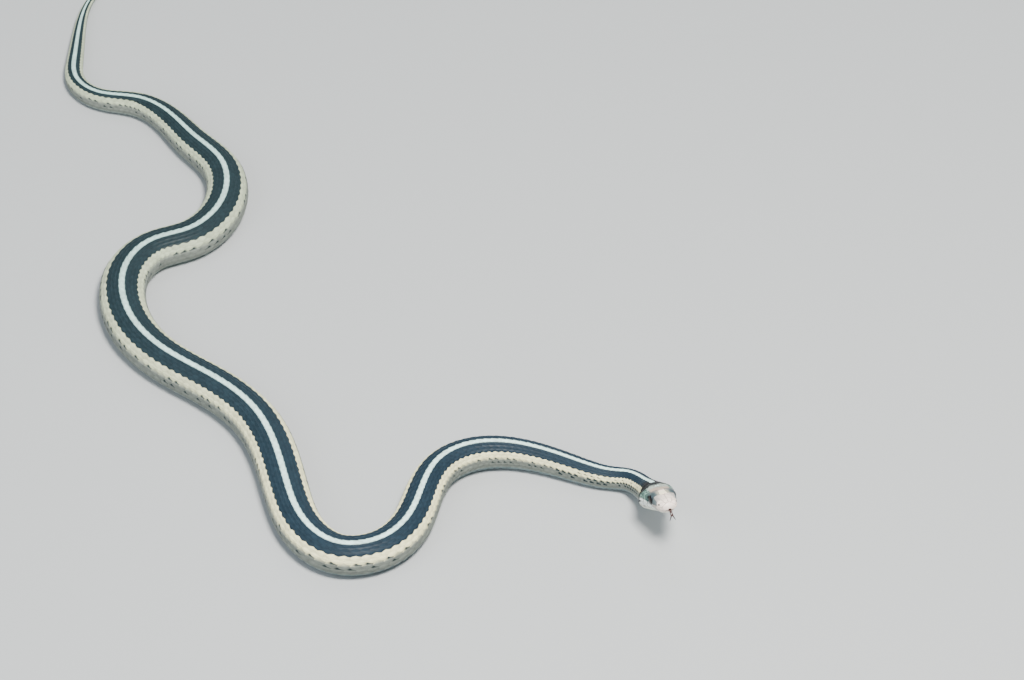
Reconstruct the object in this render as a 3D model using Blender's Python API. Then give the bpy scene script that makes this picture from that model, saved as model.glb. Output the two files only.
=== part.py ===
# Garter snake, life size, lying on its belly with the head raised a little.
# Lengths are in millimetres and are turned into metres where a mesh is made.
# +X runs from the tail side to the head side, +Y from the head to the tail, +Z up.

import math

import bmesh
import bpy
import numpy as np
from mathutils import Matrix, Vector

MM = 0.001
CUT = 0.3                  # width of the thin cut between two neighbours

# ---- the body's route -------------------------------------------------------
# Mid-line in plan, from the joint behind the head to the tip of the tail.
ROUTE = [
    (58.9, -102.1), (56.0, -94.1), (48.4, -84.1), (39.5, -81.7), (23.5, -75.7),
    (4.2, -68.9), (-15.0, -69.0), (-29.5, -78.0), (-36.5, -93.0), (-42.0, -112.0),
    (-54.0, -127.0), (-71.0, -130.0), (-85.0, -118.0), (-93.0, -97.0), (-99.0, -72.0),
    (-109.5, -47.0), (-127.0, -28.0), (-147.0, -12.0), (-162.0, 7.0), (-168.5, 28.0),
    (-166.8, 47.0), (-156.0, 61.5), (-142.0, 68.0), (-131.0, 80.0), (-126.0, 98.0),
    (-129.5, 117.0), (-142.0, 134.0), (-153.5, 150.5), (-169.0, 163.0), (-186.0, 167.5),
    (-197.0, 179.0), (-198.8, 197.0), (-198.0, 220.0), (-194.0, 242.0), (-182.0, 261.0),
]
SHIFT = (68.1, -61.2)      # moves the middle of the box to the origin

HEAD_LENGTH = 24.0         # tip of the snout to the joint
HEAD_PITCH = math.radians(25.0)
RISE_LENGTH = 32.0         # stretch of neck that leaves the floor

# Distance behind the joint, half width, height.
GIRTH = [
    (0.0, 5.9, 11.2), (10.0, 5.05, 9.7), (25.0, 4.9, 9.4), (40.0, 5.5, 10.4),
    (60.0, 6.3, 11.7), (80.0, 7.15, 12.9), (100.0, 7.8, 13.6), (190.0, 9.6, 13.8),
    (310.0, 10.5, 13.4), (420.0, 10.2, 12.9), (490.0, 8.7, 11.7), (530.0, 6.8, 9.8),
    (570.0, 5.0, 7.6), (610.0, 3.2, 5.2), (640.0, 1.65, 3.0), (660.4, 0.6, 1.3),
]
TALLEST = 13.8
WIDEST = 0.44              # height of the widest line, as a share of the body's height
BELLY_FLAT = 0.35          # depth taken off the belly to make the flat it lies on
BACK_CURVE = 2.0           # exponent of the section above the widest line
BELLY_CURVE = 2.6          # and below it

BODY_SIDES = 24
BODY_STEP = 5.2            # distance between two rings
TAIL_POINT = 0.8           # how far the last tip stands past the last ring
HEADING_REACH = 0.2        # how far either way the mid-line is read for its heading
NECK_STEP = 3.4            # and on the neck, which bends more sharply

# Name of each length of the body and where it ends, behind the joint.
LENGTHS = [
    ("neck", 42.0),
    ("forebody", 108.0),
    ("midbody_front", 190.0),
    ("midbody_middle", 280.0),
    ("midbody_rear", 370.0),
    ("hindbody_front", 432.0),
    ("hindbody_rear", 520.0),
    ("tail_base", 590.0),
    ("tail_tip", None),
]

# ---- the head ---------------------------------------------------------------
# Distance behind the snout, half width, height of the widest line over the mouth,
# top, underside, exponent above and exponent below the widest line.
HEAD = [
    (0.0, 0.05, 1.30, 1.35, 1.25, 2.0, 2.0),
    (0.5, 2.30, 1.30, 2.65, -0.70, 2.2, 2.0),
    (1.6, 3.50, 1.35, 3.70, -1.60, 2.6, 2.1),
    (3.2, 4.20, 1.45, 4.45, -2.20, 2.9, 2.2),
    (5.2, 4.65, 1.55, 5.00, -2.60, 3.1, 2.2),
    (7.2, 4.98, 1.60, 5.40, -2.95, 3.3, 2.2),
    (9.2, 5.35, 1.55, 5.75, -3.30, 3.4, 2.2),
    (11.5, 5.95, 1.35, 5.95, -3.75, 3.0, 2.2),
    (14.0, 6.75, 1.00, 6.10, -4.20, 2.6, 2.2),
    (16.5, 7.35, 0.65, 6.20, -4.65, 2.4, 2.2),
    (19.0, 7.60, 0.35, 6.28, -5.05, 2.2, 2.3),
    (21.5, 6.85, -0.10, 6.15, -5.25, 2.1, 2.5),
    (24.0, 5.90, -0.42, 5.85, -5.35, 2.0, 2.6),
]
HEAD_SIDES = 40
HEAD_RINGS = 34
FIRST_RING = 0.09          # where the first ring lies, from the snout to the joint
EYE_FACES = (20, 10)       # round and from pole to pole
NOSTRIL_FACES = (8, 6)
NOTCH_SIDES = 12
STEM_SIDES = 10
TINE_SIDES = 8
SHARP_ANGLE = math.radians(35)

# Line of the mouth, seen from the side: distance behind the snout, height.
MOUTH = [
    (-2.0, 0.0), (1.5, 0.0), (5.0, -0.22), (9.0, 0.05), (12.5, 0.70), (15.5, 0.90),
    (18.0, 0.55), (19.8, -0.10),
]
JAW_BACK = (22.8, -9.0)    # where the cut behind the jaw leaves the underside
JAW_BEHIND = 0.36          # how far the jaw's back edge keeps ahead of the head's
JAW_HINGE = (19.8, 0.0, -0.1)
LIP_OVERHANG = 0.35        # how far the upper lips stand out over the jaw
JAW_SETBACK = 0.55         # how far the chin stays behind the snout

EYE_PLACE = (8.9, 4.35, 2.95)       # behind the snout, to the side, above the mouth
EYE_RADII = (2.10, 1.60, 2.10)
BROW_RIM = (2.75, 0.55, 0.30)       # radius, spread and height of the scales round the eye
NOSTRIL_PLACE = (2.2, 3.68, 2.45)
NOSTRIL_RADII = (0.42, 0.5, 0.36)

# Tongue, from its root in the notch of the upper lip: distance ahead of the snout,
# height over the mouth, half width, half thickness.
TONGUE_STEM = [
    (-1.6, -0.10, 0.45, 0.28), (0.5, -0.10, 0.45, 0.28), (1.35, -0.45, 0.47, 0.28),
    (1.95, -1.15, 0.52, 0.28), (2.20, -2.05, 0.58, 0.27),
]
TONGUE_TINE = [
    (2.10, -1.55, 0.26, 0.25, 0.28), (2.25, -2.45, 0.55, 0.25, 0.25),
    (2.30, -3.20, 0.92, 0.20, 0.20), (2.40, -3.95, 1.40, 0.10, 0.10),
]
NOTCH_RADII = (0.78, 0.60)
NOTCH_DEPTH = 2.1

# ---- colours ----------------------------------------------------------------
BODY_COLOUR = (0.085, 0.115, 0.145)
HEAD_COLOUR = (0.52, 0.46, 0.38)
JAW_COLOUR = (0.72, 0.74, 0.66)
EYE_COLOUR = (0.012, 0.012, 0.014)
TONGUE_COLOUR = (0.16, 0.025, 0.018)


def clear_scene():
    for item in list(bpy.data.objects):
        bpy.data.objects.remove(item)


def natural_spline(knots, values):
    """Returns a function that runs smoothly through the values at the knots."""
    knots = np.asarray(knots, float)
    values = np.asarray(values, float)
    count = len(knots)
    gaps = np.diff(knots)
    slopes = np.diff(values, axis=0) / gaps.reshape((-1,) + (1,) * (values.ndim - 1))
    matrix = np.eye(count)
    target = np.zeros_like(values)
    for i in range(1, count - 1):
        matrix[i, i - 1] = gaps[i - 1]
        matrix[i, i] = 2 * (gaps[i - 1] + gaps[i])
        matrix[i, i + 1] = gaps[i]
        target[i] = 6 * (slopes[i] - slopes[i - 1])
    bends = np.linalg.solve(matrix, target)

    def value(place):
        i = int(np.clip(np.searchsorted(knots, place) - 1, 0, count - 2))
        a = (knots[i + 1] - place) / gaps[i]
        b = (place - knots[i]) / gaps[i]
        curve = ((a ** 3 - a) * bends[i] + (b ** 3 - b) * bends[i + 1]) * gaps[i] ** 2 / 6
        return a * values[i] + b * values[i + 1] + curve

    return value


def steady_curve(knots, values):
    """Returns a function through the values that never swings past them."""
    knots = np.asarray(knots, float)
    values = np.asarray(values, float)
    steps = np.diff(knots)[:, None]
    slopes = np.diff(values, axis=0) / steps
    turns = np.zeros_like(values)
    turns[0] = slopes[0]
    turns[-1] = slopes[-1]
    same = slopes[:-1] * slopes[1:] > 0
    total = np.where(same, slopes[:-1] + slopes[1:], 1.0)
    turns[1:-1] = np.where(same, 2 * slopes[:-1] * slopes[1:] / total, 0.0)

    def value(place):
        i = int(np.clip(np.searchsorted(knots, place) - 1, 0, len(knots) - 2))
        step = knots[i + 1] - knots[i]
        t = min(max((place - knots[i]) / step, 0.0), 1.0)
        return ((2 * t ** 3 - 3 * t ** 2 + 1) * values[i]
                + (t ** 3 - 2 * t ** 2 + t) * step * turns[i]
                + (3 * t ** 2 - 2 * t ** 3) * values[i + 1]
                + (t ** 3 - t ** 2) * step * turns[i + 1])

    return value


def make_route():
    """Returns the plan of the mid-line as a function of the distance along it."""
    points = np.array(ROUTE) + np.array(SHIFT)
    chords = np.concatenate([[0], np.cumsum(np.hypot(*np.diff(points, axis=0).T))])
    curve = natural_spline(chords, points)
    fine = np.linspace(0, chords[-1], 3000)
    track = np.array([curve(place) for place in fine])
    run = np.concatenate([[0], np.cumsum(np.hypot(*np.diff(track, axis=0).T))])

    def place_at(distance):
        return curve(np.interp(distance, run, fine))

    return place_at, run[-1]


PLACE_AT, BODY_LENGTH = make_route()
GIRTH_AT = steady_curve([row[0] for row in GIRTH], [row[1:] for row in GIRTH])
HEAD_AT = steady_curve([math.sqrt(row[0]) for row in HEAD], [row[1:] for row in HEAD])


def lift_and_slope(distance):
    """Height of the belly over the floor, and how steeply it rises to the head."""
    left = max(RISE_LENGTH - distance, 0.0)
    steep = math.tan(HEAD_PITCH) / RISE_LENGTH
    return steep * left ** 2 / 2, math.atan(steep * left)


def frame_at(distance):
    """Middle of the body, with the ways forward, to the animal's left, and up."""
    ahead = PLACE_AT(max(distance - HEADING_REACH, 0.0))
    behind = PLACE_AT(min(distance + HEADING_REACH, BODY_LENGTH))
    heading = Vector((*(ahead - behind), 0)).normalized()
    lift, slope = lift_and_slope(distance)
    forward = heading * math.cos(slope) + Vector((0, 0, math.sin(slope)))
    left = Vector((0, 0, 1)).cross(heading)
    up = forward.cross(left)
    height = GIRTH_AT(distance)[1]
    place = PLACE_AT(distance)
    middle = Vector((place[0], place[1], lift)) + up * (WIDEST * height)
    if lift == 0:
        middle.z = WIDEST * height
    return middle, forward, left, up


def section(half_width, above, below, curve_above, curve_below, sides):
    """Outline of a slice: to the left and up, from the middle of the back round."""
    outline = []
    for i in range(sides):
        turn = 2 * math.pi * i / sides
        side = math.sin(turn)
        rise = math.cos(turn)
        power = 2 / (curve_above if rise >= 0 else curve_below)
        reach = above if rise >= 0 else below
        outline.append((
            half_width * math.copysign(abs(side) ** power, side),
            reach * math.copysign(abs(rise) ** power, rise),
        ))
    return outline


def body_ring(distance):
    half_width, height = GIRTH_AT(distance)
    low = WIDEST * height
    flat = BELLY_FLAT * height / TALLEST
    middle, _, left, up = frame_at(distance)
    outline = section(half_width, height - low, low + flat, BACK_CURVE, BELLY_CURVE, BODY_SIDES)
    return [middle + left * x + up * max(z, -low) for x, z in outline]


def head_frame():
    middle, forward, left, up = frame_at(0.0)
    return middle - up * HEAD[-1][2], forward, left, up


def head_point(behind, side, above):
    """A point of the head, from its place behind the snout, to the left and up."""
    joint, forward, left, up = head_frame()
    return joint + forward * (HEAD_LENGTH - behind) + left * side + up * above


def brow(behind, side, above):
    """How far the scales round the eye stand out."""
    radius, spread, height = BROW_RIM
    distance = math.hypot(behind - EYE_PLACE[0], above - EYE_PLACE[2])
    if abs(side) < EYE_PLACE[1] / 2:
        return 0.0
    return height * math.exp(-((distance - radius) / spread) ** 2)


def head_ring(behind, inset=0.0):
    half_width, level, top, under, curve_above, curve_below = HEAD_AT(math.sqrt(behind))
    half_width = max(half_width - inset, 0.05)
    ring = []
    for side, rise in section(half_width, top - level, level - under,
                              curve_above, curve_below, HEAD_SIDES):
        above = level + rise
        out = 0.0 if inset else brow(behind, side, above)
        ring.append((behind, side + math.copysign(out, side), above))
    return ring


def loft(name, rings, point_at_start=None, point_at_end=None):
    """A closed mesh through the rings, which end in a flat face or in a point."""
    mesh = bmesh.new()
    loops = [[mesh.verts.new(Vector(point) * MM) for point in ring] for ring in rings]
    for one, two in zip(loops, loops[1:]):
        for i in range(len(one)):
            j = (i + 1) % len(one)
            mesh.faces.new((one[i], one[j], two[j], two[i]))
    for loop, point in ((loops[0], point_at_start), (loops[-1], point_at_end)):
        if point is None:
            mesh.faces.new(loop)
            continue
        tip = mesh.verts.new(Vector(point) * MM)
        for i in range(len(loop)):
            mesh.faces.new((loop[i], loop[(i + 1) % len(loop)], tip))
    bmesh.ops.recalc_face_normals(mesh, faces=mesh.faces)
    return add_object(name, mesh)


def add_object(name, mesh):
    data = bpy.data.meshes.new(name)
    mesh.to_mesh(data)
    mesh.free()
    item = bpy.data.objects.new(name, data)
    bpy.context.collection.objects.link(item)
    return item


def ellipsoid(name, centre, radii, faces):
    """A ball stretched along the head's own axes; centre and radii as in head_point."""
    mesh = bmesh.new()
    bmesh.ops.create_uvsphere(mesh, u_segments=faces[0], v_segments=faces[1], radius=1.0)
    for vertex in mesh.verts:
        x, z, y = vertex.co            # the poles look to the sides
        vertex.co = head_point(
            centre[0] + x * radii[0], centre[1] + y * radii[1], centre[2] + z * radii[2]
        ) * MM
    mesh.normal_update()
    bmesh.ops.recalc_face_normals(mesh, faces=mesh.faces)
    return add_object(name, mesh)


def prism(name, outline, half_width):
    """The side-view outline carried across the head."""
    rings = [[head_point(behind, side, above) for behind, above in outline]
             for side in (-half_width, half_width)]
    return loft(name, rings)


def boolean(item, other, operation):
    """Cuts, keeps or joins, then removes the other piece."""
    modifier = item.modifiers.new("cut", "BOOLEAN")
    modifier.operation = operation
    modifier.object = other
    modifier.solver = "EXACT"
    bpy.context.view_layer.update()
    result = bpy.data.meshes.new_from_object(item.evaluated_get(
        bpy.context.evaluated_depsgraph_get()))
    item.modifiers.clear()
    item.data = result
    bpy.data.objects.remove(other)


def keep_largest(item):
    """Drops any loose scrap that a cut has left."""
    mesh = bmesh.new()
    mesh.from_mesh(item.data)
    bmesh.ops.triangulate(mesh, faces=mesh.faces)
    bmesh.ops.dissolve_degenerate(mesh, dist=1e-7, edges=mesh.edges)
    left = set(mesh.verts)
    pieces = []
    while left:
        piece = {left.pop()}
        edge = list(piece)
        while edge:
            vertex = edge.pop()
            for link in vertex.link_edges:
                other = link.other_vert(vertex)
                if other not in piece:
                    piece.add(other)
                    edge.append(other)
        left -= piece
        pieces.append(piece)
    pieces.sort(key=len)
    scraps = [vertex for piece in pieces[:-1] for vertex in piece]
    bmesh.ops.delete(mesh, geom=scraps, context="VERTS")
    mesh.to_mesh(item.data)
    mesh.free()


def finish(item, colour, roughness, origin):
    """Gives a node its origin, smooth shading and material."""
    item.data.transform(Matrix.Translation(-Vector(origin) * MM))
    item.location = Vector(origin) * MM
    item.data.shade_smooth()
    item.data.set_sharp_from_angle(angle=SHARP_ANGLE)
    material = bpy.data.materials.new(item.name)
    material.use_nodes = True
    shader = material.node_tree.nodes["Principled BSDF"]
    shader.inputs["Base Color"].default_value = (*colour, 1)
    shader.inputs["Roughness"].default_value = roughness
    shader.inputs["Metallic"].default_value = 0.0
    item.data.materials.clear()
    item.data.materials.append(material)


def make_lengths():
    start = 0.0
    for name, end in LENGTHS:
        last = end is None
        first = start + CUT / 2
        stop = BODY_LENGTH if last else end - CUT / 2
        count = max(2, round((stop - first) / (NECK_STEP if start == 0 else BODY_STEP)))
        places = np.linspace(first, stop, count + 1)
        rings = [body_ring(place) for place in places]
        middle, forward, _, _ = frame_at(stop)
        item = loft(name, rings, point_at_end=middle - forward * TAIL_POINT if last else None)
        finish(item, BODY_COLOUR, 0.45, frame_at(first)[0])
        start = end


def head_loft(name, inset, setback):
    """The whole head as one shape, drawn in from the sides and the front."""
    reach = HEAD_LENGTH - CUT / 2 - setback
    steps = [reach * t * t for t in np.linspace(FIRST_RING, 1.0, HEAD_RINGS)]
    rings = [[head_point(step + setback, side, above)
              for step, side, above in head_ring(step, inset)] for step in steps]
    return loft(name, rings, point_at_start=head_point(setback, 0.0, HEAD[0][2]))


def make_head():
    """The head and the lower jaw, with the mouth, sockets, nostrils and notch."""
    floor = JAW_BACK[1]
    front = MOUTH[0][0]
    upper = MOUTH + [JAW_BACK, (front, floor)]
    lower = [(behind - CUT if behind > front else behind, above - CUT)
             for behind, above in MOUTH]
    lower += [(JAW_BACK[0] - JAW_BEHIND, floor), (front, floor)]
    head = head_loft("head", 0.0, 0.0)
    boolean(head, prism("mouth_cutter", upper, 2 * EYE_PLACE[0]), "DIFFERENCE")
    jaw = head_loft("lower_jaw", LIP_OVERHANG, JAW_SETBACK)
    boolean(jaw, prism("jaw_keeper", lower, 2 * EYE_PLACE[0]), "INTERSECT")

    notch_line = TONGUE_STEM[0][1]
    for item in (head, jaw):
        ends = [(NOTCH_DEPTH, notch_line, *NOTCH_RADII), (-NOTCH_DEPTH, notch_line, *NOTCH_RADII)]
        boolean(item, tube("notch_cutter", ends, NOTCH_SIDES), "DIFFERENCE")
    for hand in (-1, 1):
        x, y, z = EYE_PLACE
        socket_radii = [radius + CUT for radius in EYE_RADII]
        socket = ellipsoid("socket_cutter", (x, hand * y, z), socket_radii, EYE_FACES)
        boolean(head, socket, "DIFFERENCE")
        x, y, z = NOSTRIL_PLACE
        nostril = ellipsoid("nostril_cutter", (x, hand * y, z), NOSTRIL_RADII, NOSTRIL_FACES)
        boolean(head, nostril, "DIFFERENCE")
    keep_largest(head)
    keep_largest(jaw)
    finish(head, HEAD_COLOUR, 0.4, head_frame()[0])
    finish(jaw, JAW_COLOUR, 0.45, head_point(*JAW_HINGE))


def make_eyes():
    for name, hand in (("eye_left", 1), ("eye_right", -1)):
        x, y, z = EYE_PLACE
        eye = ellipsoid(name, (x, hand * y, z), EYE_RADII, EYE_FACES)
        finish(eye, EYE_COLOUR, 0.05, head_point(x, hand * y, z))


def tube(name, stations, sides):
    """A strip of oval slices; each station is ahead, above, [side,] half width, half depth."""
    stations = [row if len(row) == 5 else (row[0], row[1], 0.0, row[2], row[3])
                for row in stations]
    rings = []
    for i, (ahead, above, side, half_width, half_depth) in enumerate(stations):
        before = stations[max(i - 1, 0)]
        after = stations[min(i + 1, len(stations) - 1)]
        run = Vector((after[0] - before[0], after[1] - before[1])).normalized()
        ring = []
        for k in range(sides):
            turn = 2 * math.pi * k / sides
            across = half_width * math.sin(turn)
            depth = half_depth * math.cos(turn)
            ring.append(head_point(
                -(ahead - run.y * depth), side + across, above + run.x * depth))
        rings.append(ring)
    return loft(name, rings)


def make_tongue():
    tongue = tube("tongue", TONGUE_STEM, STEM_SIDES)
    for hand in (-1, 1):
        tine = [(a, z, hand * y, w, d) for a, z, y, w, d in TONGUE_TINE]
        boolean(tongue, tube("tine", tine, TINE_SIDES), "UNION")
    keep_largest(tongue)
    finish(tongue, TONGUE_COLOUR, 0.35, head_point(-TONGUE_STEM[0][0], 0.0, TONGUE_STEM[0][1]))


clear_scene()
make_lengths()
make_head()
make_eyes()
make_tongue()
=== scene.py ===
import math

import bmesh
import bpy
import numpy as np
from mathutils import Matrix, Vector
from mathutils.bvhtree import BVHTree


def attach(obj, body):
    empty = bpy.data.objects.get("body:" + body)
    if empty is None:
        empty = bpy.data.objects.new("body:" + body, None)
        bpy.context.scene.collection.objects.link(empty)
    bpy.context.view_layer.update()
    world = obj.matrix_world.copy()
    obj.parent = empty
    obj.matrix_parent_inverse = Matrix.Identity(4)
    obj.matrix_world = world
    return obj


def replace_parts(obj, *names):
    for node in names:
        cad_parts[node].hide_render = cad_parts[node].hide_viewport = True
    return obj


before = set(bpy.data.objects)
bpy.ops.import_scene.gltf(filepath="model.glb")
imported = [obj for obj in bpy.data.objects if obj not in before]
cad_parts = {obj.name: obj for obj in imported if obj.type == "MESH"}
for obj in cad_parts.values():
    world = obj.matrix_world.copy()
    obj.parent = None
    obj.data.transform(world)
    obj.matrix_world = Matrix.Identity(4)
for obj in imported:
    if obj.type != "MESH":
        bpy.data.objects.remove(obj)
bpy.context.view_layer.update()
print("frame loaded:", len(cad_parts), "nodes")

mm = 0.001  # every shape below is worked out in millimetres

# camera, light and floor

camera = {
    "lens": 200.0, "sensor": 36.0, "distance": 2.44, "elevation": 42.0, "nearest": 0.01,
    "lookAt": (0.0681, -0.0612, 0.008),
}
lights = {
    "key": {"place": (0.30, -0.52, 1.30), "size": 0.40, "power": 43.0, "colour": (1.0, 0.97, 0.93)},
    "fill": {"place": (-1.10, -0.90, 0.90), "size": 1.20, "power": 12.0, "colour": (0.88, 0.94, 1.0)},
    "back": {"place": (0.20, 1.10, 1.40), "size": 0.90, "power": 5.0, "colour": (0.92, 0.97, 1.0)},
    "sky": {"colour": (0.82, 0.89, 1.0), "strength": 0.46},
}
floorLook = {"size": 6.0, "level": -0.0002, "colour": (0.46, 0.48, 0.48), "roughness": 0.75}


def addCamera():
    lean = math.radians(camera["elevation"])
    target = Vector(camera["lookAt"])
    back = Vector((0, -math.cos(lean), math.sin(lean)))
    bpy.ops.object.camera_add(location=target + back * camera["distance"],
                              rotation=(math.pi / 2 - lean, 0, 0))
    item = bpy.context.object
    item.name = "mainCamera"
    item.data.lens = camera["lens"]
    item.data.sensor_width = camera["sensor"]
    item.data.clip_start = camera["nearest"]
    bpy.context.scene.camera = item


def addLights():
    target = Vector(camera["lookAt"])
    for name in ("key", "fill", "back"):
        lamp = lights[name]
        place = Vector(lamp["place"])
        bpy.ops.object.light_add(type="AREA", location=place)
        item = bpy.context.object
        item.name = name + "Light"
        item.rotation_euler = (target - place).to_track_quat("-Z", "Y").to_euler()
        item.data.size = lamp["size"]
        item.data.energy = lamp["power"]
        item.data.color = lamp["colour"]
    world = bpy.data.worlds.new("studio")
    world.use_nodes = True
    background = world.node_tree.nodes["Background"]
    background.inputs["Color"].default_value = (*lights["sky"]["colour"], 1)
    background.inputs["Strength"].default_value = lights["sky"]["strength"]
    bpy.context.scene.world = world


def addFloor():
    bpy.ops.object.select_all(action="DESELECT")
    bpy.ops.mesh.primitive_plane_add(size=floorLook["size"], location=(0, 0, floorLook["level"]))
    item = bpy.context.object
    item.name = "floor"
    material = bpy.data.materials.new("paleFloor")
    material.use_nodes = True
    shader = material.node_tree.nodes["Principled BSDF"]
    shader.inputs["Base Color"].default_value = (*floorLook["colour"], 1)
    shader.inputs["Roughness"].default_value = floorLook["roughness"]
    item.data.materials.append(material)


addCamera()
addLights()
addFloor()
print("camera, light and floor are in place")

# the shape of the animal, as in its solids

body = {
    "route": [  # of the spine, seen from above
        (58.9, -102.1), (56.0, -94.1), (48.4, -84.1), (39.5, -81.7), (23.5, -75.7),
        (4.2, -68.9), (-15.0, -69.0), (-29.5, -78.0), (-36.5, -93.0), (-42.0, -112.0),
        (-54.0, -127.0), (-71.0, -130.0), (-85.0, -118.0), (-93.0, -97.0), (-99.0, -72.0),
        (-109.5, -47.0), (-127.0, -28.0), (-147.0, -12.0), (-162.0, 7.0), (-168.5, 28.0),
        (-166.8, 47.0), (-156.0, 61.5), (-142.0, 68.0), (-131.0, 80.0), (-126.0, 98.0),
        (-129.5, 117.0), (-142.0, 134.0), (-153.5, 150.5), (-169.0, 163.0), (-186.0, 167.5),
        (-197.0, 179.0), (-198.8, 197.0), (-198.0, 220.0), (-194.0, 242.0), (-182.0, 261.0),
    ],
    "shift": (68.1, -61.2),
    "girth": [  # behind the joint, half width, height
        (0.0, 5.9, 11.2), (10.0, 5.05, 9.7), (25.0, 4.9, 9.4), (40.0, 5.5, 10.4),
        (60.0, 6.3, 11.7), (80.0, 7.15, 12.9), (100.0, 7.8, 13.6), (190.0, 9.6, 13.8),
        (310.0, 10.5, 13.4), (420.0, 10.2, 12.9), (490.0, 8.7, 11.7), (530.0, 6.8, 9.8),
        (570.0, 5.0, 7.6), (610.0, 3.2, 5.2), (640.0, 1.65, 3.0), (660.4, 0.6, 1.3),
    ],
    "widest": 0.44,           # level of a slice's widest place, as a share of its height
    "bellyFlat": 0.35, "tallest": 13.8, "backCurve": 2.0, "bellyCurve": 2.6,
    "rise": 32.0, "pitch": math.radians(25.0),  # length and slope of the lifted neck
}
head = {
    "length": 24.0,
    "stations": [  # behind the snout, half width, widest level, top, underside, curves above and below
        (0.0, 0.05, 1.30, 1.35, 1.25, 2.0, 2.0), (0.5, 2.30, 1.30, 2.65, -0.70, 2.2, 2.0),
        (1.6, 3.50, 1.35, 3.70, -1.60, 2.6, 2.1), (3.2, 4.20, 1.45, 4.45, -2.20, 2.9, 2.2),
        (5.2, 4.65, 1.55, 5.00, -2.60, 3.1, 2.2), (7.2, 4.98, 1.60, 5.40, -2.95, 3.3, 2.2),
        (9.2, 5.35, 1.55, 5.75, -3.30, 3.4, 2.2), (11.5, 5.95, 1.35, 5.95, -3.75, 3.0, 2.2),
        (14.0, 6.75, 1.00, 6.10, -4.20, 2.6, 2.2), (16.5, 7.35, 0.65, 6.20, -4.65, 2.4, 2.2),
        (19.0, 7.60, 0.35, 6.28, -5.05, 2.2, 2.3), (21.5, 6.85, -0.10, 6.15, -5.25, 2.1, 2.5),
        (24.0, 5.90, -0.42, 5.85, -5.35, 2.0, 2.6),
    ],
    "mouth": [  # behind the snout, height
        (-2.0, 0.0), (1.5, 0.0), (5.0, -0.22), (9.0, 0.05), (12.5, 0.70), (15.5, 0.90),
        (18.0, 0.55), (19.8, -0.10),
    ],
    "mouthCorner": 19.8, "lipOverhang": 0.35, "jawSetback": 0.55,
    "eye": (8.9, 4.35, 2.95), "eyeRadii": (2.10, 1.60, 2.10),
    "nostril": (2.2, 3.68, 2.45),
    "brow": (2.75, 0.55, 0.30),  # radius, spread and height of the swelling round the eye
}
depths = {  # of the skin below the solids, by its place behind the joint
    "underPlates": -0.12, "underScales": -0.36, "ramp": (-6.6, -4.4), "fullGirth": 12.0, "thinnest": 0.25,
}


def gapAt(knots, place):
    return np.clip(np.searchsorted(knots, place) - 1, 0, len(knots) - 2)


def naturalSpline(knots, values):
    # a smooth curve through the values, with even bends
    knots = np.asarray(knots, float)
    values = np.asarray(values, float)
    count = len(knots)
    gaps = np.diff(knots)
    slopes = np.diff(values, axis=0) / gaps[:, None]
    matrix = np.eye(count)
    target = np.zeros_like(values)
    for i in range(1, count - 1):
        matrix[i, i - 1:i + 2] = (gaps[i - 1], 2 * (gaps[i - 1] + gaps[i]), gaps[i])
        target[i] = 6 * (slopes[i] - slopes[i - 1])
    bends = np.linalg.solve(matrix, target)

    def value(place):
        place = np.atleast_1d(place)
        i = gapAt(knots, place)
        a = ((knots[i + 1] - place) / gaps[i])[:, None]
        b = ((place - knots[i]) / gaps[i])[:, None]
        curve = ((a ** 3 - a) * bends[i] + (b ** 3 - b) * bends[i + 1]) * (gaps[i] ** 2 / 6)[:, None]
        return a * values[i] + b * values[i + 1] + curve

    return value


def steadyCurve(knots, values):
    # a smooth curve through the values that never swings past them
    knots = np.asarray(knots, float)
    values = np.asarray(values, float)
    slopes = np.diff(values, axis=0) / np.diff(knots)[:, None]
    turns = np.zeros_like(values)
    turns[0] = slopes[0]
    turns[-1] = slopes[-1]
    same = slopes[:-1] * slopes[1:] > 0
    total = np.where(same, slopes[:-1] + slopes[1:], 1.0)
    turns[1:-1] = np.where(same, 2 * slopes[:-1] * slopes[1:] / total, 0.0)

    def value(place):
        place = np.atleast_1d(place)
        i = gapAt(knots, place)
        step = (knots[i + 1] - knots[i])[:, None]
        t = np.clip((place - knots[i])[:, None] / step, 0, 1)
        return ((2 * t ** 3 - 3 * t ** 2 + 1) * values[i] + (t ** 3 - 2 * t ** 2 + t) * step * turns[i]
                + (3 * t ** 2 - 2 * t ** 3) * values[i + 1] + (t ** 3 - t ** 2) * step * turns[i + 1])

    return value


def smooth(low, high, value):
    # rises softly from 0 to 1 between low and high
    t = np.clip((np.asarray(value, float) - low) / (high - low), 0, 1)
    return t * t * (3 - 2 * t)


def steps(value, pairs):
    # read off a list of pairs, in straight lines between them
    return np.interp(value, [pair[0] for pair in pairs], [pair[1] for pair in pairs])


def makeRoute():
    # the spine's route seen from above, by the distance along it
    points = np.array(body["route"]) + np.array(body["shift"])
    chords = np.concatenate([[0], np.cumsum(np.hypot(*np.diff(points, axis=0).T))])
    curve = naturalSpline(chords, points)
    fine = np.linspace(0, chords[-1], 3000)
    run = np.concatenate([[0], np.cumsum(np.hypot(*np.diff(curve(fine), axis=0).T))])
    return (lambda distance: curve(np.interp(distance, run, fine))), run[-1]


placeAt, bodyLength = makeRoute()
girthAt = steadyCurve([row[0] for row in body["girth"]], [row[1:] for row in body["girth"]])
headAt = steadyCurve([math.sqrt(row[0]) for row in head["stations"]],
                     [row[1:] for row in head["stations"]])
axisLift = -head["stations"][-1][2]


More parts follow.
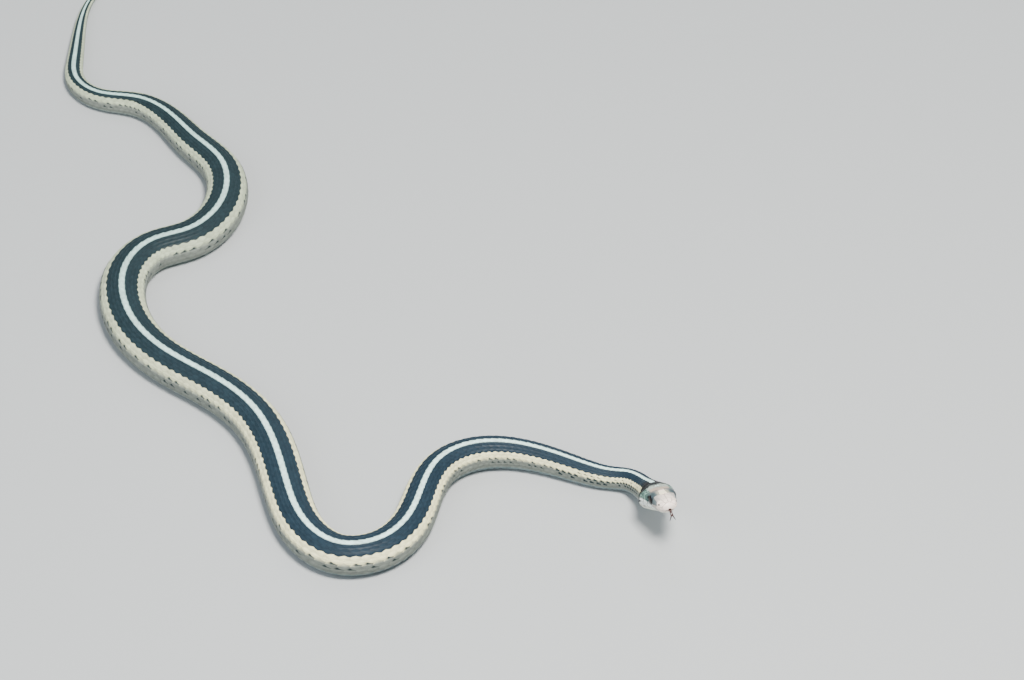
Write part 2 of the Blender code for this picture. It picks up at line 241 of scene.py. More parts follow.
def bodyFrames(distance):
    # middle of the slice and the ways forward, left and up
    reach = 0.2
    run = placeAt(np.maximum(distance - reach, 0)) - placeAt(np.minimum(distance + reach, bodyLength))
    heading = run / np.linalg.norm(run, axis=1)[:, None]
    left = np.maximum(body["rise"] - distance, 0)
    steep = math.tan(body["pitch"]) / body["rise"]
    slope = np.arctan(steep * left)
    forward = np.column_stack([heading * np.cos(slope)[:, None], np.sin(slope)])
    sideways = np.column_stack([-heading[:, 1], heading[:, 0], np.zeros(len(distance))])
    up = np.cross(forward, sideways)
    middle = np.column_stack([placeAt(distance), steep * left ** 2 / 2])
    return middle + up * (body["widest"] * girthAt(distance)[:, 1:2]), forward, sideways, up


jointMiddle, headForward, headLeft, headUp = [v[0] for v in bodyFrames(np.zeros(1))]
headJoint = jointMiddle + headUp * axisLift
headAxes = np.array([-headForward, headLeft, headUp])  # behind, side, above


def headPoint(local):
    # from places behind the snout, to the left and over the mouth
    local = np.asarray(local, float)
    return headJoint + (local - (head["length"], 0, 0)) @ headAxes


def localOf(points):
    # the way back, from points to places on the head
    return (points - headJoint) @ headAxes.T + (head["length"], 0, 0)


def awayFrom(name, behind, above, radii=(1, 1)):
    # distance from the middle of the eye or nostril, seen from the side
    return np.hypot((behind - head[name][0]) / radii[0], (above - head[name][2]) / radii[1])


def mouthLevel(behind):
    return steps(behind, head["mouth"])


def halfOutline(halfWidth, above, below, curveAbove, curveBelow, samples=541):
    # left half of a slice, from the top down, round or boxy by its curves
    turn = np.linspace(0, math.pi, samples)
    rise = np.cos(turn)
    power = np.where(rise >= 0, 2 / curveAbove, 2 / curveBelow)
    x = halfWidth * np.abs(np.sin(turn)) ** power
    z = np.where(rise >= 0, above, below) * np.sign(rise) * np.abs(rise) ** power
    return x, z


halfSamples = 181  # from mid-back to mid-belly in the tables
headSlices, bodySlices = 160, 900


def evenly(x, z):
    # the outline at even steps, and its length
    run = np.concatenate([[0], np.cumsum(np.hypot(np.diff(x), np.diff(z)))])
    share = np.linspace(0, run[-1], halfSamples)
    return np.interp(share, run, x), np.interp(share, run, z), run[-1]


def headSlice(behind):
    halfWidth, level, top, under, curveAbove, curveBelow = headAt(math.sqrt(max(behind, 0)))[0]
    x, z = halfOutline(halfWidth, top - level, level - under, curveAbove, curveBelow)
    return evenly(x, z + level)


def bodySlice(distance):
    halfWidth, height = girthAt(distance)[0]
    low = body["widest"] * height
    flat = body["bellyFlat"] * height / body["tallest"]
    x, z = halfOutline(halfWidth, height - low, low + flat, body["backCurve"], body["bellyCurve"])
    return evenly(x, np.maximum(z, -low) - axisLift)


def bilinear(grid, row, column, down, across):
    # value of a grid between its rows and columns
    low = grid[row, column] * (1 - across) + grid[row, column + 1] * across
    high = grid[row + 1, column] * (1 - across) + grid[row + 1, column + 1] * across
    return low * (1 - down) + high * down


def gridNormals(points, outward=None):
    # square to a grid of points, on the side that points outward at its middle
    normal = np.cross(np.gradient(points, axis=1), np.gradient(points, axis=0))
    normal = normal / (np.linalg.norm(normal, axis=-1)[..., None] + 1e-12)
    if outward is not None:
        rows, columns = points.shape[:2]
        normal *= np.sign(normal[rows // 2, columns // 2] @ np.array(outward))
    return normal


def makeTables():
    # rings from snout to tail, each from the right mid-belly over the back to the left mid-belly
    headRows = head["length"] * np.linspace(0, 1, headSlices + 1)[:-1] ** 2
    bodyRows = np.linspace(0, bodyLength, bodySlices)
    slices = [headSlice(behind) for behind in headRows] + [bodySlice(s) for s in bodyRows]
    x = np.array([piece[0] for piece in slices])
    z = np.array([piece[1] for piece in slices])
    middle, forward, left, up = bodyFrames(bodyRows)
    centre = np.concatenate([headPoint(headRows[:, None] * (1, 0, 0)), middle + up * axisLift])
    left, up = [np.concatenate([np.repeat(way[None], headSlices, 0), ways])[:, None]
                for way, ways in ((headLeft, left), (headUp, up))]
    fullX = np.concatenate([-x[:, :0:-1], x], 1)[..., None]
    fullZ = np.concatenate([z[:, :0:-1], z], 1)[..., None]
    points = centre[:, None] + left * fullX + up * fullZ
    normals = gridNormals(points)
    normals[0] = headForward
    return {"s": np.concatenate([headRows - head["length"], bodyRows]), "points": points,
            "normals": normals, "girth": np.array([piece[2] for piece in slices])}


tables = makeTables()


def surface(s, f, height=0.0):
    # s runs back from the joint behind the head; f is 0 on the back, 1 at the left mid-belly, -1 right
    s, f, height = np.broadcast_arrays(np.asarray(s, float), np.asarray(f, float), height)
    stations = tables["s"]
    s = np.clip(s, stations[0], stations[-1])
    row = gapAt(stations, s)
    wrapped = (f + 1) % 2 if np.abs(f).max() > 1 else f + 1
    across = wrapped * (halfSamples - 1)
    column = np.clip(across.astype(int), 0, 2 * halfSamples - 3)
    where = (row, column, ((s - stations[row]) / (stations[row + 1] - stations[row]))[..., None],
             (across - column)[..., None])
    normal = bilinear(tables["normals"], *where)
    normal = normal / np.linalg.norm(normal, axis=-1)[..., None]
    return bilinear(tables["points"], *where) + normal * height[..., None]


def skinDepth(s):
    # the coat is finer on the tail, so the skin lies less deep there
    ramp = smooth(*depths["ramp"], s)
    thin = np.clip(np.interp(s, tables["s"], tables["girth"]) / depths["fullGirth"], depths["thinnest"], 1)
    return depths["underPlates"] * (1 - ramp) + depths["underScales"] * ramp * thin


print("shape worked out:", round(bodyLength + head["length"]), "mm long")

# markings, the same on skin and scales

tones = {  # screen colours
    "ice": (218, 250, 242), "iceRear": (184, 218, 210), "night": (31, 47, 58), "nightRear": (32, 47, 51),
    "black": (5, 6, 8), "fleck": (96, 120, 130), "cream": (238, 234, 186), "creamRear": (176, 186, 158),
    "side": (116, 122, 114), "belly": (118, 136, 138), "bellyRear": (140, 156, 150), "tick": (38, 48, 50),
    "snout": (255, 238, 224), "straw": (252, 242, 206), "crown": (142, 126, 106), "blush": (168, 132, 110),
    # the first tone below, grey-blue of the head's sides, also stands in for painted brow shade and sky
    # reflection over the eye
    "mist": (66, 92, 98), "temple": (58, 92, 84), "templePale": (134, 172, 158), "nape": (30, 50, 50),
    # the first tone below is painted shade round the eye, under the brow
    "browShadow": (26, 42, 54), "lip": (240, 246, 238), "lipSeamShade": (14, 14, 15), "crownSeamShade": (84, 74, 62),
    "chin": (222, 224, 210), "mouth": (40, 18, 18),
}
pattern = {
    # widths of the scale rows from the middle of the back down, as shares of the half girth
    "rows": [0.028, 0.0585, 0.0585, 0.0585, 0.0585, 0.065, 0.065, 0.085, 0.089, 0.094],
    "stripeReach": [(0, -0.16), (50, -0.52)],  # how far the pale stripe crosses the second row, -1 to 1
    # rows that narrow away on the tail, from and to
    "lostRows": [((3, 4), 520.0, 548.0), ((7, 8), 556.0, 588.0), ((1, 6), 604.0, 628.0)],
    "saw": [(0, 2.3), (110, 3.3), (400, 3.7), (600, 2.2)],  # the stripe's edge steps from scale to scale
    "sawDepth": 0.4, "sawMiddle": 0.8, "stripeEdge": (-0.12, 0.12),
    # where the black collar ends on each row, and how softly
    "collarEnd": [-5.6, -3.0, -3.0, -3.0, -3.2, -4.4, -4.9, -5.4, -5.5, -6.0, -6.0],
    "collarFade": [0.1, 5.0, 6.0, 6.0, 5.0, 0.1, 0.1, 0.1, 0.1, 0.1, 0.1],
    "rear": (150, 420), "throat": (-6, 20),  # where the rear's and the belly's own tones set in
    "sideRows": (6.2, 7.0), "bellyRows": (8.6, 9.6),
}
headZones = {  # behind the snout: from, to, softness
    "straw": (5.6, 9.8, 1.2), "crown": (9.2, 13.8, 1.0), "blush": (3.8, 6.8, 1.0), "mist": (2.6, 10.6, 1.6),
    "lipMist": (3.6, 7.8, 1.2),
}
headEdges = {  # where a tone begins and where it is full
    "temple": (12.4, 13.8), "templeFront": (8.8, 10.2), "templeOut": (3.8, 4.8), "patches": (-0.4, 0.5),
    "blushOut": (1.0, 2.4), "blushPatches": (-0.4, 0.4), "mistOut": (1.2, 3.4), "nape": (15.4, 16.8),
    "napeUp": (3.8, 5.0), "browShadowRadius": (2.3, 3.5), "browShadowUp": (1.4, 2.2), "browShadowOut": (2.8, 3.8),
    "browShadowRear": (7.5, 9.5), "lipRear": (6.5, 8.0), "lipTop": (1.4, 2.0), "lipRise": (11, 15),
    "chin": (-1.6, -0.6), "jaw": (-0.6, 0.4), "crownOut": (1.5, 4.5), "crownUp": (3.5, 4.8),
    "collar": (16.6, 17.6), "collarFoot": (-3.6, -2.8),
}


def linear(colour):
    value = np.asarray(colour, float) / 255
    return np.where(value <= 0.04045, value / 12.92, ((value + 0.055) / 1.055) ** 2.4)


tone = {name: linear(value) for name, value in tones.items()}


def mix(one, two, amount):
    # two colours, or the names of tones, blended
    one, two = [tone[colour] if isinstance(colour, str) else colour for colour in (one, two)]
    amount = np.asarray(amount, float)[..., None]
    return one * (1 - amount) + two * amount


def rowEdges(s):
    # edges of the scale rows, as shares of the half girth, for an array of distances
    widths = np.repeat(np.array(pattern["rows"])[:, None], len(np.atleast_1d(s)), 1)
    total = widths.sum(0)
    for rows, start, end in pattern["lostRows"]:
        for row in rows:
            widths[row] *= 1 - smooth(start, end, s)
    widths *= total / widths.sum(0)
    return np.concatenate([np.zeros((1, widths.shape[1])), np.cumsum(widths, 0)])


def rowAt(s, f):
    # row number with the place in it, from -1 to 1 going down
    edges = rowEdges(s)
    level = np.abs(f)
    row = np.clip((level[None] > edges[1:-1]).sum(0), 0, 9)
    low = np.take_along_axis(edges, row[None], 0)[0]
    high = np.take_along_axis(edges, row[None] + 1, 0)[0]
    return row, (level - low) / (high - low + 1e-9) * 2 - 1


def bellyTone(s):
    front = mix("chin", "belly", smooth(*pattern["throat"], s))
    return mix(front, "bellyRear", smooth(*pattern["rear"], s))


def bodyTone(s, row, place, start):
    # colour of a row of the body, 10 is the belly; start is where its scale begins
    rear = smooth(*pattern["rear"], s)
    ice, night, cream = [mix(name, name + "Rear", rear) for name in ("ice", "night", "cream")]
    colour = np.where((row <= 4)[:, None], night, cream)
    share = (s - start) / steps(s, pattern["saw"])
    reach = steps(s, pattern["stripeReach"])
    reach = reach + pattern["sawDepth"] * (pattern["sawMiddle"] - share) * (share > 0)
    inner = 1 - smooth(*pattern["stripeEdge"], place - reach)
    inner = np.where(row == 0, 1.0, np.where(row == 1, inner, 0))
    colour = mix(colour, ice, inner)
    colour = mix(colour, "side", smooth(*pattern["sideRows"], row + place / 2))
    colour = mix(colour, bellyTone(s), smooth(*pattern["bellyRows"], row + place / 2))
    lane = np.clip(np.where(inner > 0.5, 0, row), 0, 10).astype(int)
    end = np.array(pattern["collarEnd"])[lane]
    dark = 1 - smooth(0, 1, (start - end) / np.array(pattern["collarFade"])[lane])
    return mix(colour, "black", dark)


def blotch(local, pitch, turn):
    # a soft uneven field from -1 to 1 over the head
    u, v, w = (local / pitch).T
    u, v = u + 0.9 * np.sin(1.3 * v + 0.7 * w + turn), v + 0.9 * np.sin(1.1 * u - 0.9 * w + 2 * turn)
    return (np.sin(2.3 * u + 1.7 * v + turn) * np.cos(1.9 * v - 1.1 * w + 2 * turn)
            + 0.6 * np.sin(4.1 * v - 3.3 * u + 3 * turn) * np.cos(3.7 * w + turn)) / 1.6


def headTone(local):
    behind, side, above = local[:, 0], np.abs(local[:, 1]), local[:, 2]
    wander = blotch(local, 1.6, 0.7)
    ahead = behind + 0.6 * wander

    def zone(name):
        start, end, soft = headZones[name]
        return smooth(start, start + soft, ahead) * (1 - smooth(end - soft, end, ahead))

    def edge(name, value):
        return smooth(*headEdges[name], value)

    temple = mix("temple", "templePale", edge("patches", blotch(local, 0.7, 5.2)))
    colour = mix("snout", "straw", 0.8 * zone("straw"))
    colour = mix(colour, "crown", 0.8 * zone("crown"))
    colour = mix(colour, temple, 0.75 * edge("temple", ahead))
    rosy = zone("blush") * (1 - edge("blushOut", side)) * edge("blushPatches", blotch(local, 1.1, 2.1))
    colour = mix(colour, "blush", 0.55 * rosy)
    outward = side + 0.4 * wander
    # grey-blue on the sides of the snout and brow: partly the head's own tone, partly painted brow shade
    # and sky reflection over the eye
    colour = mix(colour, "mist", 0.92 * zone("mist") * edge("mistOut", outward))
    colour = mix(colour, temple, 0.95 * edge("templeFront", ahead) * edge("templeOut", outward))
    colour = mix(colour, "nape", 0.85 * edge("nape", ahead) * edge("napeUp", above))
    # painted shade round the eye, where the brow shadows it: the head's sides near the eye turn dark
    # blue-grey, less so behind the eye
    browShadowMask = 1 - edge("browShadowRadius", awayFrom("eye", behind, above))
    browShadowMask = browShadowMask * edge("browShadowUp", above) * edge("browShadowOut", side)
    colour = mix(colour, "browShadow", (0.92 - 0.32 * edge("browShadowRear", behind)) * browShadowMask)
    lip = mix(tone["snout"] * 0.92, "lip", edge("lipRear", behind))
    lip = mix(lip, "mist", 0.5 * zone("lipMist"))
    colour = mix(colour, lip, 1 - edge("lipTop", above - 0.35 * edge("lipRise", behind)))
    colour = mix(colour, "chin", 1 - edge("chin", above))
    collar = behind + 0.4 * wander - 1.2 * (1 - edge("jaw", above))
    collar = collar + 1.4 * edge("crownOut", side) * edge("crownUp", above)
    colour = mix(colour, "black", edge("collar", collar) * edge("collarFoot", above))
    return colour * (1 + 0.09 * blotch(local, 0.45, 1.3))[:, None]


def paint(mesh, colours):
    # the colours of the points, which the materials read
    tint = mesh.color_attributes.new("tint", "FLOAT_COLOR", "POINT")
    full = np.column_stack([colours, np.ones(len(colours))]).astype(np.float32)
    tint.data.foreach_set("color", full.ravel())


def addMesh(name, points, groups, colours, material, sharp=None):
    # one object from arrays: points in millimetres, groups of faces with equal numbers of corners
    mesh = bpy.data.meshes.new(name)
    corners = np.concatenate([group.reshape(-1) for group in groups]).astype(np.int32)
    sizes = np.concatenate([np.full(len(group), group.shape[1]) for group in groups])
    starts = np.concatenate([[0], np.cumsum(sizes)[:-1]]).astype(np.int32)
    mesh.vertices.add(len(points))
    mesh.vertices.foreach_set("co", (points * mm).astype(np.float32).ravel())
    mesh.loops.add(len(corners))
    mesh.loops.foreach_set("vertex_index", corners)
    mesh.polygons.add(len(sizes))
    mesh.polygons.foreach_set("loop_start", starts)
    mesh.update(calc_edges=True)
    mesh.shade_smooth()
    paint(mesh, colours)
    if sharp:
        mesh.set_sharp_from_angle(angle=math.radians(sharp))
    mesh.materials.append(material)
    item = bpy.data.objects.new(name, mesh)
    bpy.context.collection.objects.link(item)
    return item


def loftQuads(index):
    # faces between rings of points, each ring closed on itself
    near, far = index[:-1], index[1:]
    return np.stack([near, np.roll(near, -1, 1), np.roll(far, -1, 1), far], -1).reshape(-1, 4)


def placeOnHead(item, local):
    # a piece that was modelled ahead, left and up from the origin moves to its place on the head
    axes = Matrix((headForward, headLeft, headUp)).transposed().to_4x4()
    axes.translation = Vector(headPoint(local) * mm)
    item.matrix_world = axes
    bpy.ops.object.transform_apply(location=True, rotation=True, scale=True)


def faceOutwards(item, merge=None):
    bpy.ops.object.select_all(action="DESELECT")
    bpy.context.view_layer.objects.active = item
    item.select_set(True)
    bpy.ops.object.mode_set(mode="EDIT")
    bpy.ops.mesh.select_all(action="SELECT")
    if merge:
        bpy.ops.mesh.remove_doubles(threshold=merge)
    bpy.ops.mesh.normals_make_consistent(inside=False)
    bpy.ops.object.mode_set(mode="OBJECT")


# materials

looks = {  # roughness, specular, coat, coat's roughness, grain, bump
    "snakeSkin": (0.52, 0.14, 0.03, 0.28, 0.9, 0.25),
    "keeledScales": (0.52, 0.14, 0.03, 0.26, 1.1, 0.40),
    "headPlates": (0.40, 0.22, 0.12, 0.16, 0.75, 0.20),
    "eyeGloss": (0.14, 0.20, 0.15, 0.02, 2.2, 0.0),
    "wetTongue": (0.32, 0.5, 0.6, 0.12, 1.1, 0.3),
}
grain = {"fine": 5200.0, "broad": 420.0, "tint": 0.22, "relief": 0.00004}


def addNode(tree, kind, inputs, **settings):
    # a node with its settings; each input takes a value or another node's output
    node = tree.nodes.new("ShaderNode" + kind)
    for name, value in settings.items():
        setattr(node, name, value)
    for name, value in inputs.items():
        feed(tree, node.inputs[name], value)
    return node


def feed(tree, socket, value):
    if isinstance(value, bpy.types.NodeSocket):
        tree.links.new(value, socket)
    else:
        socket.default_value = value


def makeGrainGroup():
    # fine mottling and striation shared by skin, scales and plates
    group = bpy.data.node_groups.new("reptileGrain", "ShaderNodeTree")
    for way, name, kind in (("INPUT", "Tint", "Color"), ("INPUT", "Amount", "Float"),
                            ("OUTPUT", "Colour", "Color"), ("OUTPUT", "Gloss", "Float"),
                            ("OUTPUT", "Relief", "Float")):
        group.interface.new_socket(name, in_out=way, socket_type="NodeSocket" + kind)
    entry = group.nodes.new("NodeGroupInput").outputs
    result = group.nodes.new("NodeGroupOutput").inputs
    place = addNode(group, "TexCoord", {}).outputs["Object"]
    fine = addNode(group, "TexNoise", {"Vector": place, "Scale": grain["fine"], "Detail": 3.0,
                                       "Roughness": 0.6}).outputs["Fac"]
    broad = addNode(group, "TexNoise", {"Vector": place, "Scale": grain["broad"],
                                        "Detail": 2.0}).outputs["Fac"]
    both = addNode(group, "Math", {0: fine, 1: broad}, operation="ADD").outputs[0]
    spread = addNode(group, "MapRange", {"Value": both, "From Min": 0.6, "From Max": 1.4,
                                         "To Min": -grain["tint"], "To Max": grain["tint"]})
    strength = addNode(group, "Math", {0: spread.outputs["Result"], 1: entry["Amount"], 2: 1.0},
                       operation="MULTIPLY_ADD")
    shade = addNode(group, "VectorMath", {0: entry["Tint"], "Scale": strength.outputs[0]},
                    operation="SCALE")
    gloss = addNode(group, "MapRange", {"Value": broad, "From Min": 0.3, "From Max": 0.7,
                                        "To Min": -0.08, "To Max": 0.10})
    feed(group, result["Colour"], shade.outputs["Vector"])
    feed(group, result["Gloss"], gloss.outputs["Result"])
    feed(group, result["Relief"], fine)
    return group


grainGroup = makeGrainGroup()


def makeHide(name):
    roughness, specular, coat, coatRoughness, amount, bump = looks[name]
    material = bpy.data.materials.new(name)
    material.use_nodes = True
    tree = material.node_tree
    tint = addNode(tree, "Attribute", {}, attribute_name="tint").outputs["Color"]
    mottle = addNode(tree, "Group", {}, node_tree=grainGroup)
    feed(tree, mottle.inputs["Amount"], amount)
    feed(tree, mottle.inputs["Tint"], tint)
    rough = addNode(tree, "Math", {0: mottle.outputs["Gloss"], 1: roughness}, operation="ADD")
    relief = addNode(tree, "Bump", {"Strength": bump, "Distance": grain["relief"],
                                    "Height": mottle.outputs["Relief"]})
    finish = {"Base Color": mottle.outputs["Colour"], "Roughness": rough.outputs[0],
              "Normal": relief.outputs["Normal"], "Specular IOR Level": specular, "Coat Weight": coat,
              "Coat Roughness": coatRoughness}
    for socket, value in finish.items():
        feed(tree, tree.nodes["Principled BSDF"].inputs[socket], value)
    return material


hides = {name: makeHide(name) for name in looks}

# skin: one closed skin over head, neck, body and tail, with the jaw closing the mouth

skin = {
    "headRows": 200, "halfColumns": 120, "lipColumn": 108, "bodyRows": 330, "coarser": 4,
    "palate": 0.30, "palateBack": (19.2, 20.3), "lipTuck": 0.10,
    "jawRows": 130, "jawColumns": 56, "jawEnd": 20.9, "mouthGap": 0.12,
    "notch": (0.78, 0.66), "notchDepth": 0.55, "notchEdge": (0.75, 1.1), "notchBack": (1.0, 2.0),
    "eyeOpening": 2.22, "nostrilRadii": (0.40, 0.30),
    "lipSpread": 1.5, "browShare": 0.8, "socketDepth": 0.9, "nostrilDepth": 0.8,
    "nostrilEdge": (0.55, 1.05), "socketEdge": (-0.12, 0.08),  # soft edges of the openings
    "inside": (1.2, 0.7),     # further back and over the mouth, where the palate sinks towards
    "setbackFade": (12, 19), "overhangFade": (15, 19.3), "jawSink": 0.35, "jawSinkFrom": (19.6, 20.8),
    "jawNotch": (0.8, 0.30),  # drop and set-back of the jaw's lip below the notch
    "mouthFloor": [(0.10, 0.0), (0.35, 0.3), (0.65, 0.3), (0.90, 0.0)],  # from right lip to left, drop
    "shade": 0.42, "bellyFrom": 0.66, "merge": 0.000004,
}
eyeCentre = np.array(head["eye"])


def sliceShare(behind, side=None, above=None):
    # share of the half girth where a slice of the head reaches a side or a height
    x, z, _ = headSlice(behind)
    share = np.linspace(0, 1, halfSamples)
    if side is not None:
        widest = int(np.argmax(x))
        return float(np.interp(side, x[:widest + 1], share[:widest + 1]))
    return float(np.interp(-above, -z, share))


def browOut(local):
    # how far the scales round the eye stand out, to the side
    radius, spread, height = head["brow"]
    side = local[..., 1]
    swelling = height * np.exp(-((awayFrom("eye", local[..., 0], local[..., 2]) - radius) / spread) ** 2)
    return np.sign(side) * swelling * smooth(2.0, 3.2, np.abs(side))


def evenRows(count):
    # rows of the head at even steps along its profile
    fine = head["length"] * np.linspace(0, 1, 1500) ** 2
    profile = headAt(np.sqrt(fine))
    run = np.concatenate([[0], np.cumsum(np.hypot(np.diff(fine), np.diff(profile[:, 0])))])
    return np.interp(np.linspace(0, run[-1], count), run, fine)


def headSkin():
    # the head's rings with lips, palate, notch for the tongue, eye sockets and nostrils
    rows = evenRows(skin["headRows"] + 1)[1:]
    half = skin["halfColumns"]
    lip = skin["lipColumn"]
    index = np.arange(half + 1)
    upper = np.clip(index / lip, 0, 1)
    lower = np.clip((index - lip) / (half - lip), 0, 1)
    shares = []
    for behind in rows:
        edge = sliceShare(behind, above=mouthLevel(behind))
        edge += (lip / half - edge) * smooth(head["mouthCorner"], head["length"], behind)
        shares.append(edge * upper + (1 - edge) * lower)
    shares = np.array(shares)
    full = np.concatenate([-shares[:, ::-1], shares[:, 1:-1]], 1)  # a whole ring, open once
    lowerFull = np.concatenate([lower[::-1], lower[1:-1]])
    lipDistance = np.concatenate([(lip - index)[::-1], (lip - index)[1:-1]])
    s = np.repeat((rows - head["length"])[:, None], full.shape[1], 1)
    local = localOf(surface(s, full, skinDepth(s)))
    local[..., 1] += skin["browShare"] * browOut(local)
    behind, side, above = local[..., 0], local[..., 1].copy(), local[..., 2]
    inMouth = 1 - smooth(*skin["palateBack"], behind)
    notchWidth, notchHeight = skin["notch"]
    notch = 1 - smooth(*skin["notchEdge"], np.hypot(side / notchWidth, (above + 0.1) / notchHeight))
    notch *= 1 - smooth(*skin["notchBack"], behind)
    sunk = np.maximum(skin["palate"] * inMouth * np.clip(lowerFull * 12, 0, 1),
                      skin["notchDepth"] * notch)
    back, rise = skin["inside"]
    inside = np.stack([behind + back, 0 * side, 0 * side + rise], -1)
    moved = local * (1 - sunk[..., None]) + inside * sunk[..., None]
    tuck = skin["lipTuck"] * np.exp(-np.abs(lipDistance) / skin["lipSpread"]) * inMouth
    edges = [skin["eyeOpening"] + edge for edge in skin["socketEdge"]]
    socket = (1 - smooth(*edges, awayFrom("eye", behind, above))) * (np.abs(side) > 3)
    pit = 1 - smooth(*skin["nostrilEdge"], awayFrom("nostril", behind, above, skin["nostrilRadii"]))
    pit = pit * (np.abs(side) > 1.5)
    sink = tuck + skin["socketDepth"] * socket + skin["nostrilDepth"] * pit
    moved[..., 1] -= np.sign(side) * np.minimum(sink, np.abs(side))
    return headPoint(moved), s, full, moved


def bodySkin():
    s = np.linspace(0, bodyLength, skin["bodyRows"] + 1)[1:]
    count = 2 * skin["halfColumns"] // skin["coarser"]
    f = np.linspace(-1, 1, count + 1)[:-1]
    s, f = np.meshgrid(s, f, indexing="ij")
    return surface(s, f, skinDepth(s)), s, f


def ringQuads(rows, columns, start=0):
    return loftQuads(start + np.arange(rows * columns).reshape(rows, columns))[:, [0, 3, 2, 1]]


def skinTone(s, f, local):
    # the skin between scales and plates
    row, place = rowAt(s, f)
    belly = np.abs(f) > skin["bellyFrom"]
    colour = bodyTone(s, np.where(belly, 10, row), np.where(belly, 0, place), s) * skin["shade"]
    behind, above = local[:, 0], local[:, 2]
    # painted contact shade: the skin in the seams between head plates is dark, brown on the crown, near
    # black at the lip and half as bright as the chin below
    seam = mix("crownSeamShade", "lipSeamShade", 1 - smooth(1.6, 2.6, above))
    seam = mix(seam, tone["chin"] * 0.5, 1 - smooth(-1.6, -0.8, above))
    # painted shade: the skin deep in the eye sockets and in the nostril pits is black
    seam = mix(seam, "black", 1 - smooth(1.9, 2.1, awayFrom("eye", behind, above)))
    seam = mix(seam, "black", 1 - smooth(0.6, 0.8, awayFrom("nostril", behind, above)))
    return mix(seam, colour, smooth(-6.0, -4.6, s))


def jawGrid():
    # the lower jaw: narrower and set back, it fades into the throat behind the mouth
    setback = head["jawSetback"]
    start = setback
    # it starts where a slice first reaches below the lip
    while headSlice(start - setback)[1][-1] > mouthLevel(start) - skin["mouthGap"]:
        start += 0.005
    rows = start + 0.01 + (skin["jawEnd"] - start) * np.linspace(0, 1, skin["jawRows"]) ** 1.5
    points = []
    shares = []
    even = np.linspace(0, 1, halfSamples)
    for behind in rows:
        back = setback * (1 - smooth(*skin["setbackFade"], behind))
        inset = head["lipOverhang"] * (1 - smooth(*skin["overhangFade"], behind))
        x, z, _ = headSlice(behind - back)
        edge = sliceShare(behind - back, above=mouthLevel(behind) - skin["mouthGap"])
        share = np.linspace(edge, 1, skin["jawColumns"])
        side = np.interp(share, even, x) * (1 - inset / max(x.max(), inset))
        points.append(np.column_stack([np.full(len(share), behind), side, np.interp(share, even, z)]))
        shares.append(share)
    half = np.array(points)
    full = np.concatenate([half, half[:, ::-1][:, 1:] * (1, -1, 1)], 1)  # left lip, belly, right lip
    share = np.array(shares)
    share = np.concatenate([share, -share[:, ::-1][:, 1:]], 1)
    return full, rows, share


jawPoints, jawRows, jawShares = jawGrid()


def jawSkin():
    normals = gridNormals(jawPoints, (0, 0, -1))
    normals[0] = normals[1]
    depth = skinDepth(jawRows - head["length"]) - skin["jawSink"] * smooth(*skin["jawSinkFrom"], jawRows)
    full = jawPoints + normals * depth[:, None, None]
    notchWidth, notchHeight = skin["notch"]
    near = (1 - smooth(1.8, 2.6, full[..., 0])) * np.exp(-(full[..., 1] / notchWidth) ** 4)
    lip = np.clip((full[..., 2] + 0.9) / 0.9, 0, 1)
    full[..., 2] -= skin["jawNotch"][0] * notchHeight * near * lip
    full[..., 0] += skin["jawNotch"][1] * near
    left, right = full[:, 0], full[:, -1]
    floor = [right * (1 - amount) + left * amount - (0, 0, drop) for amount, drop in skin["mouthFloor"]]
    share = np.concatenate([jawShares, np.repeat(jawShares[:, -1:], len(floor), 1)], 1)
    return np.concatenate([full, np.stack(floor, 1)], 1), share


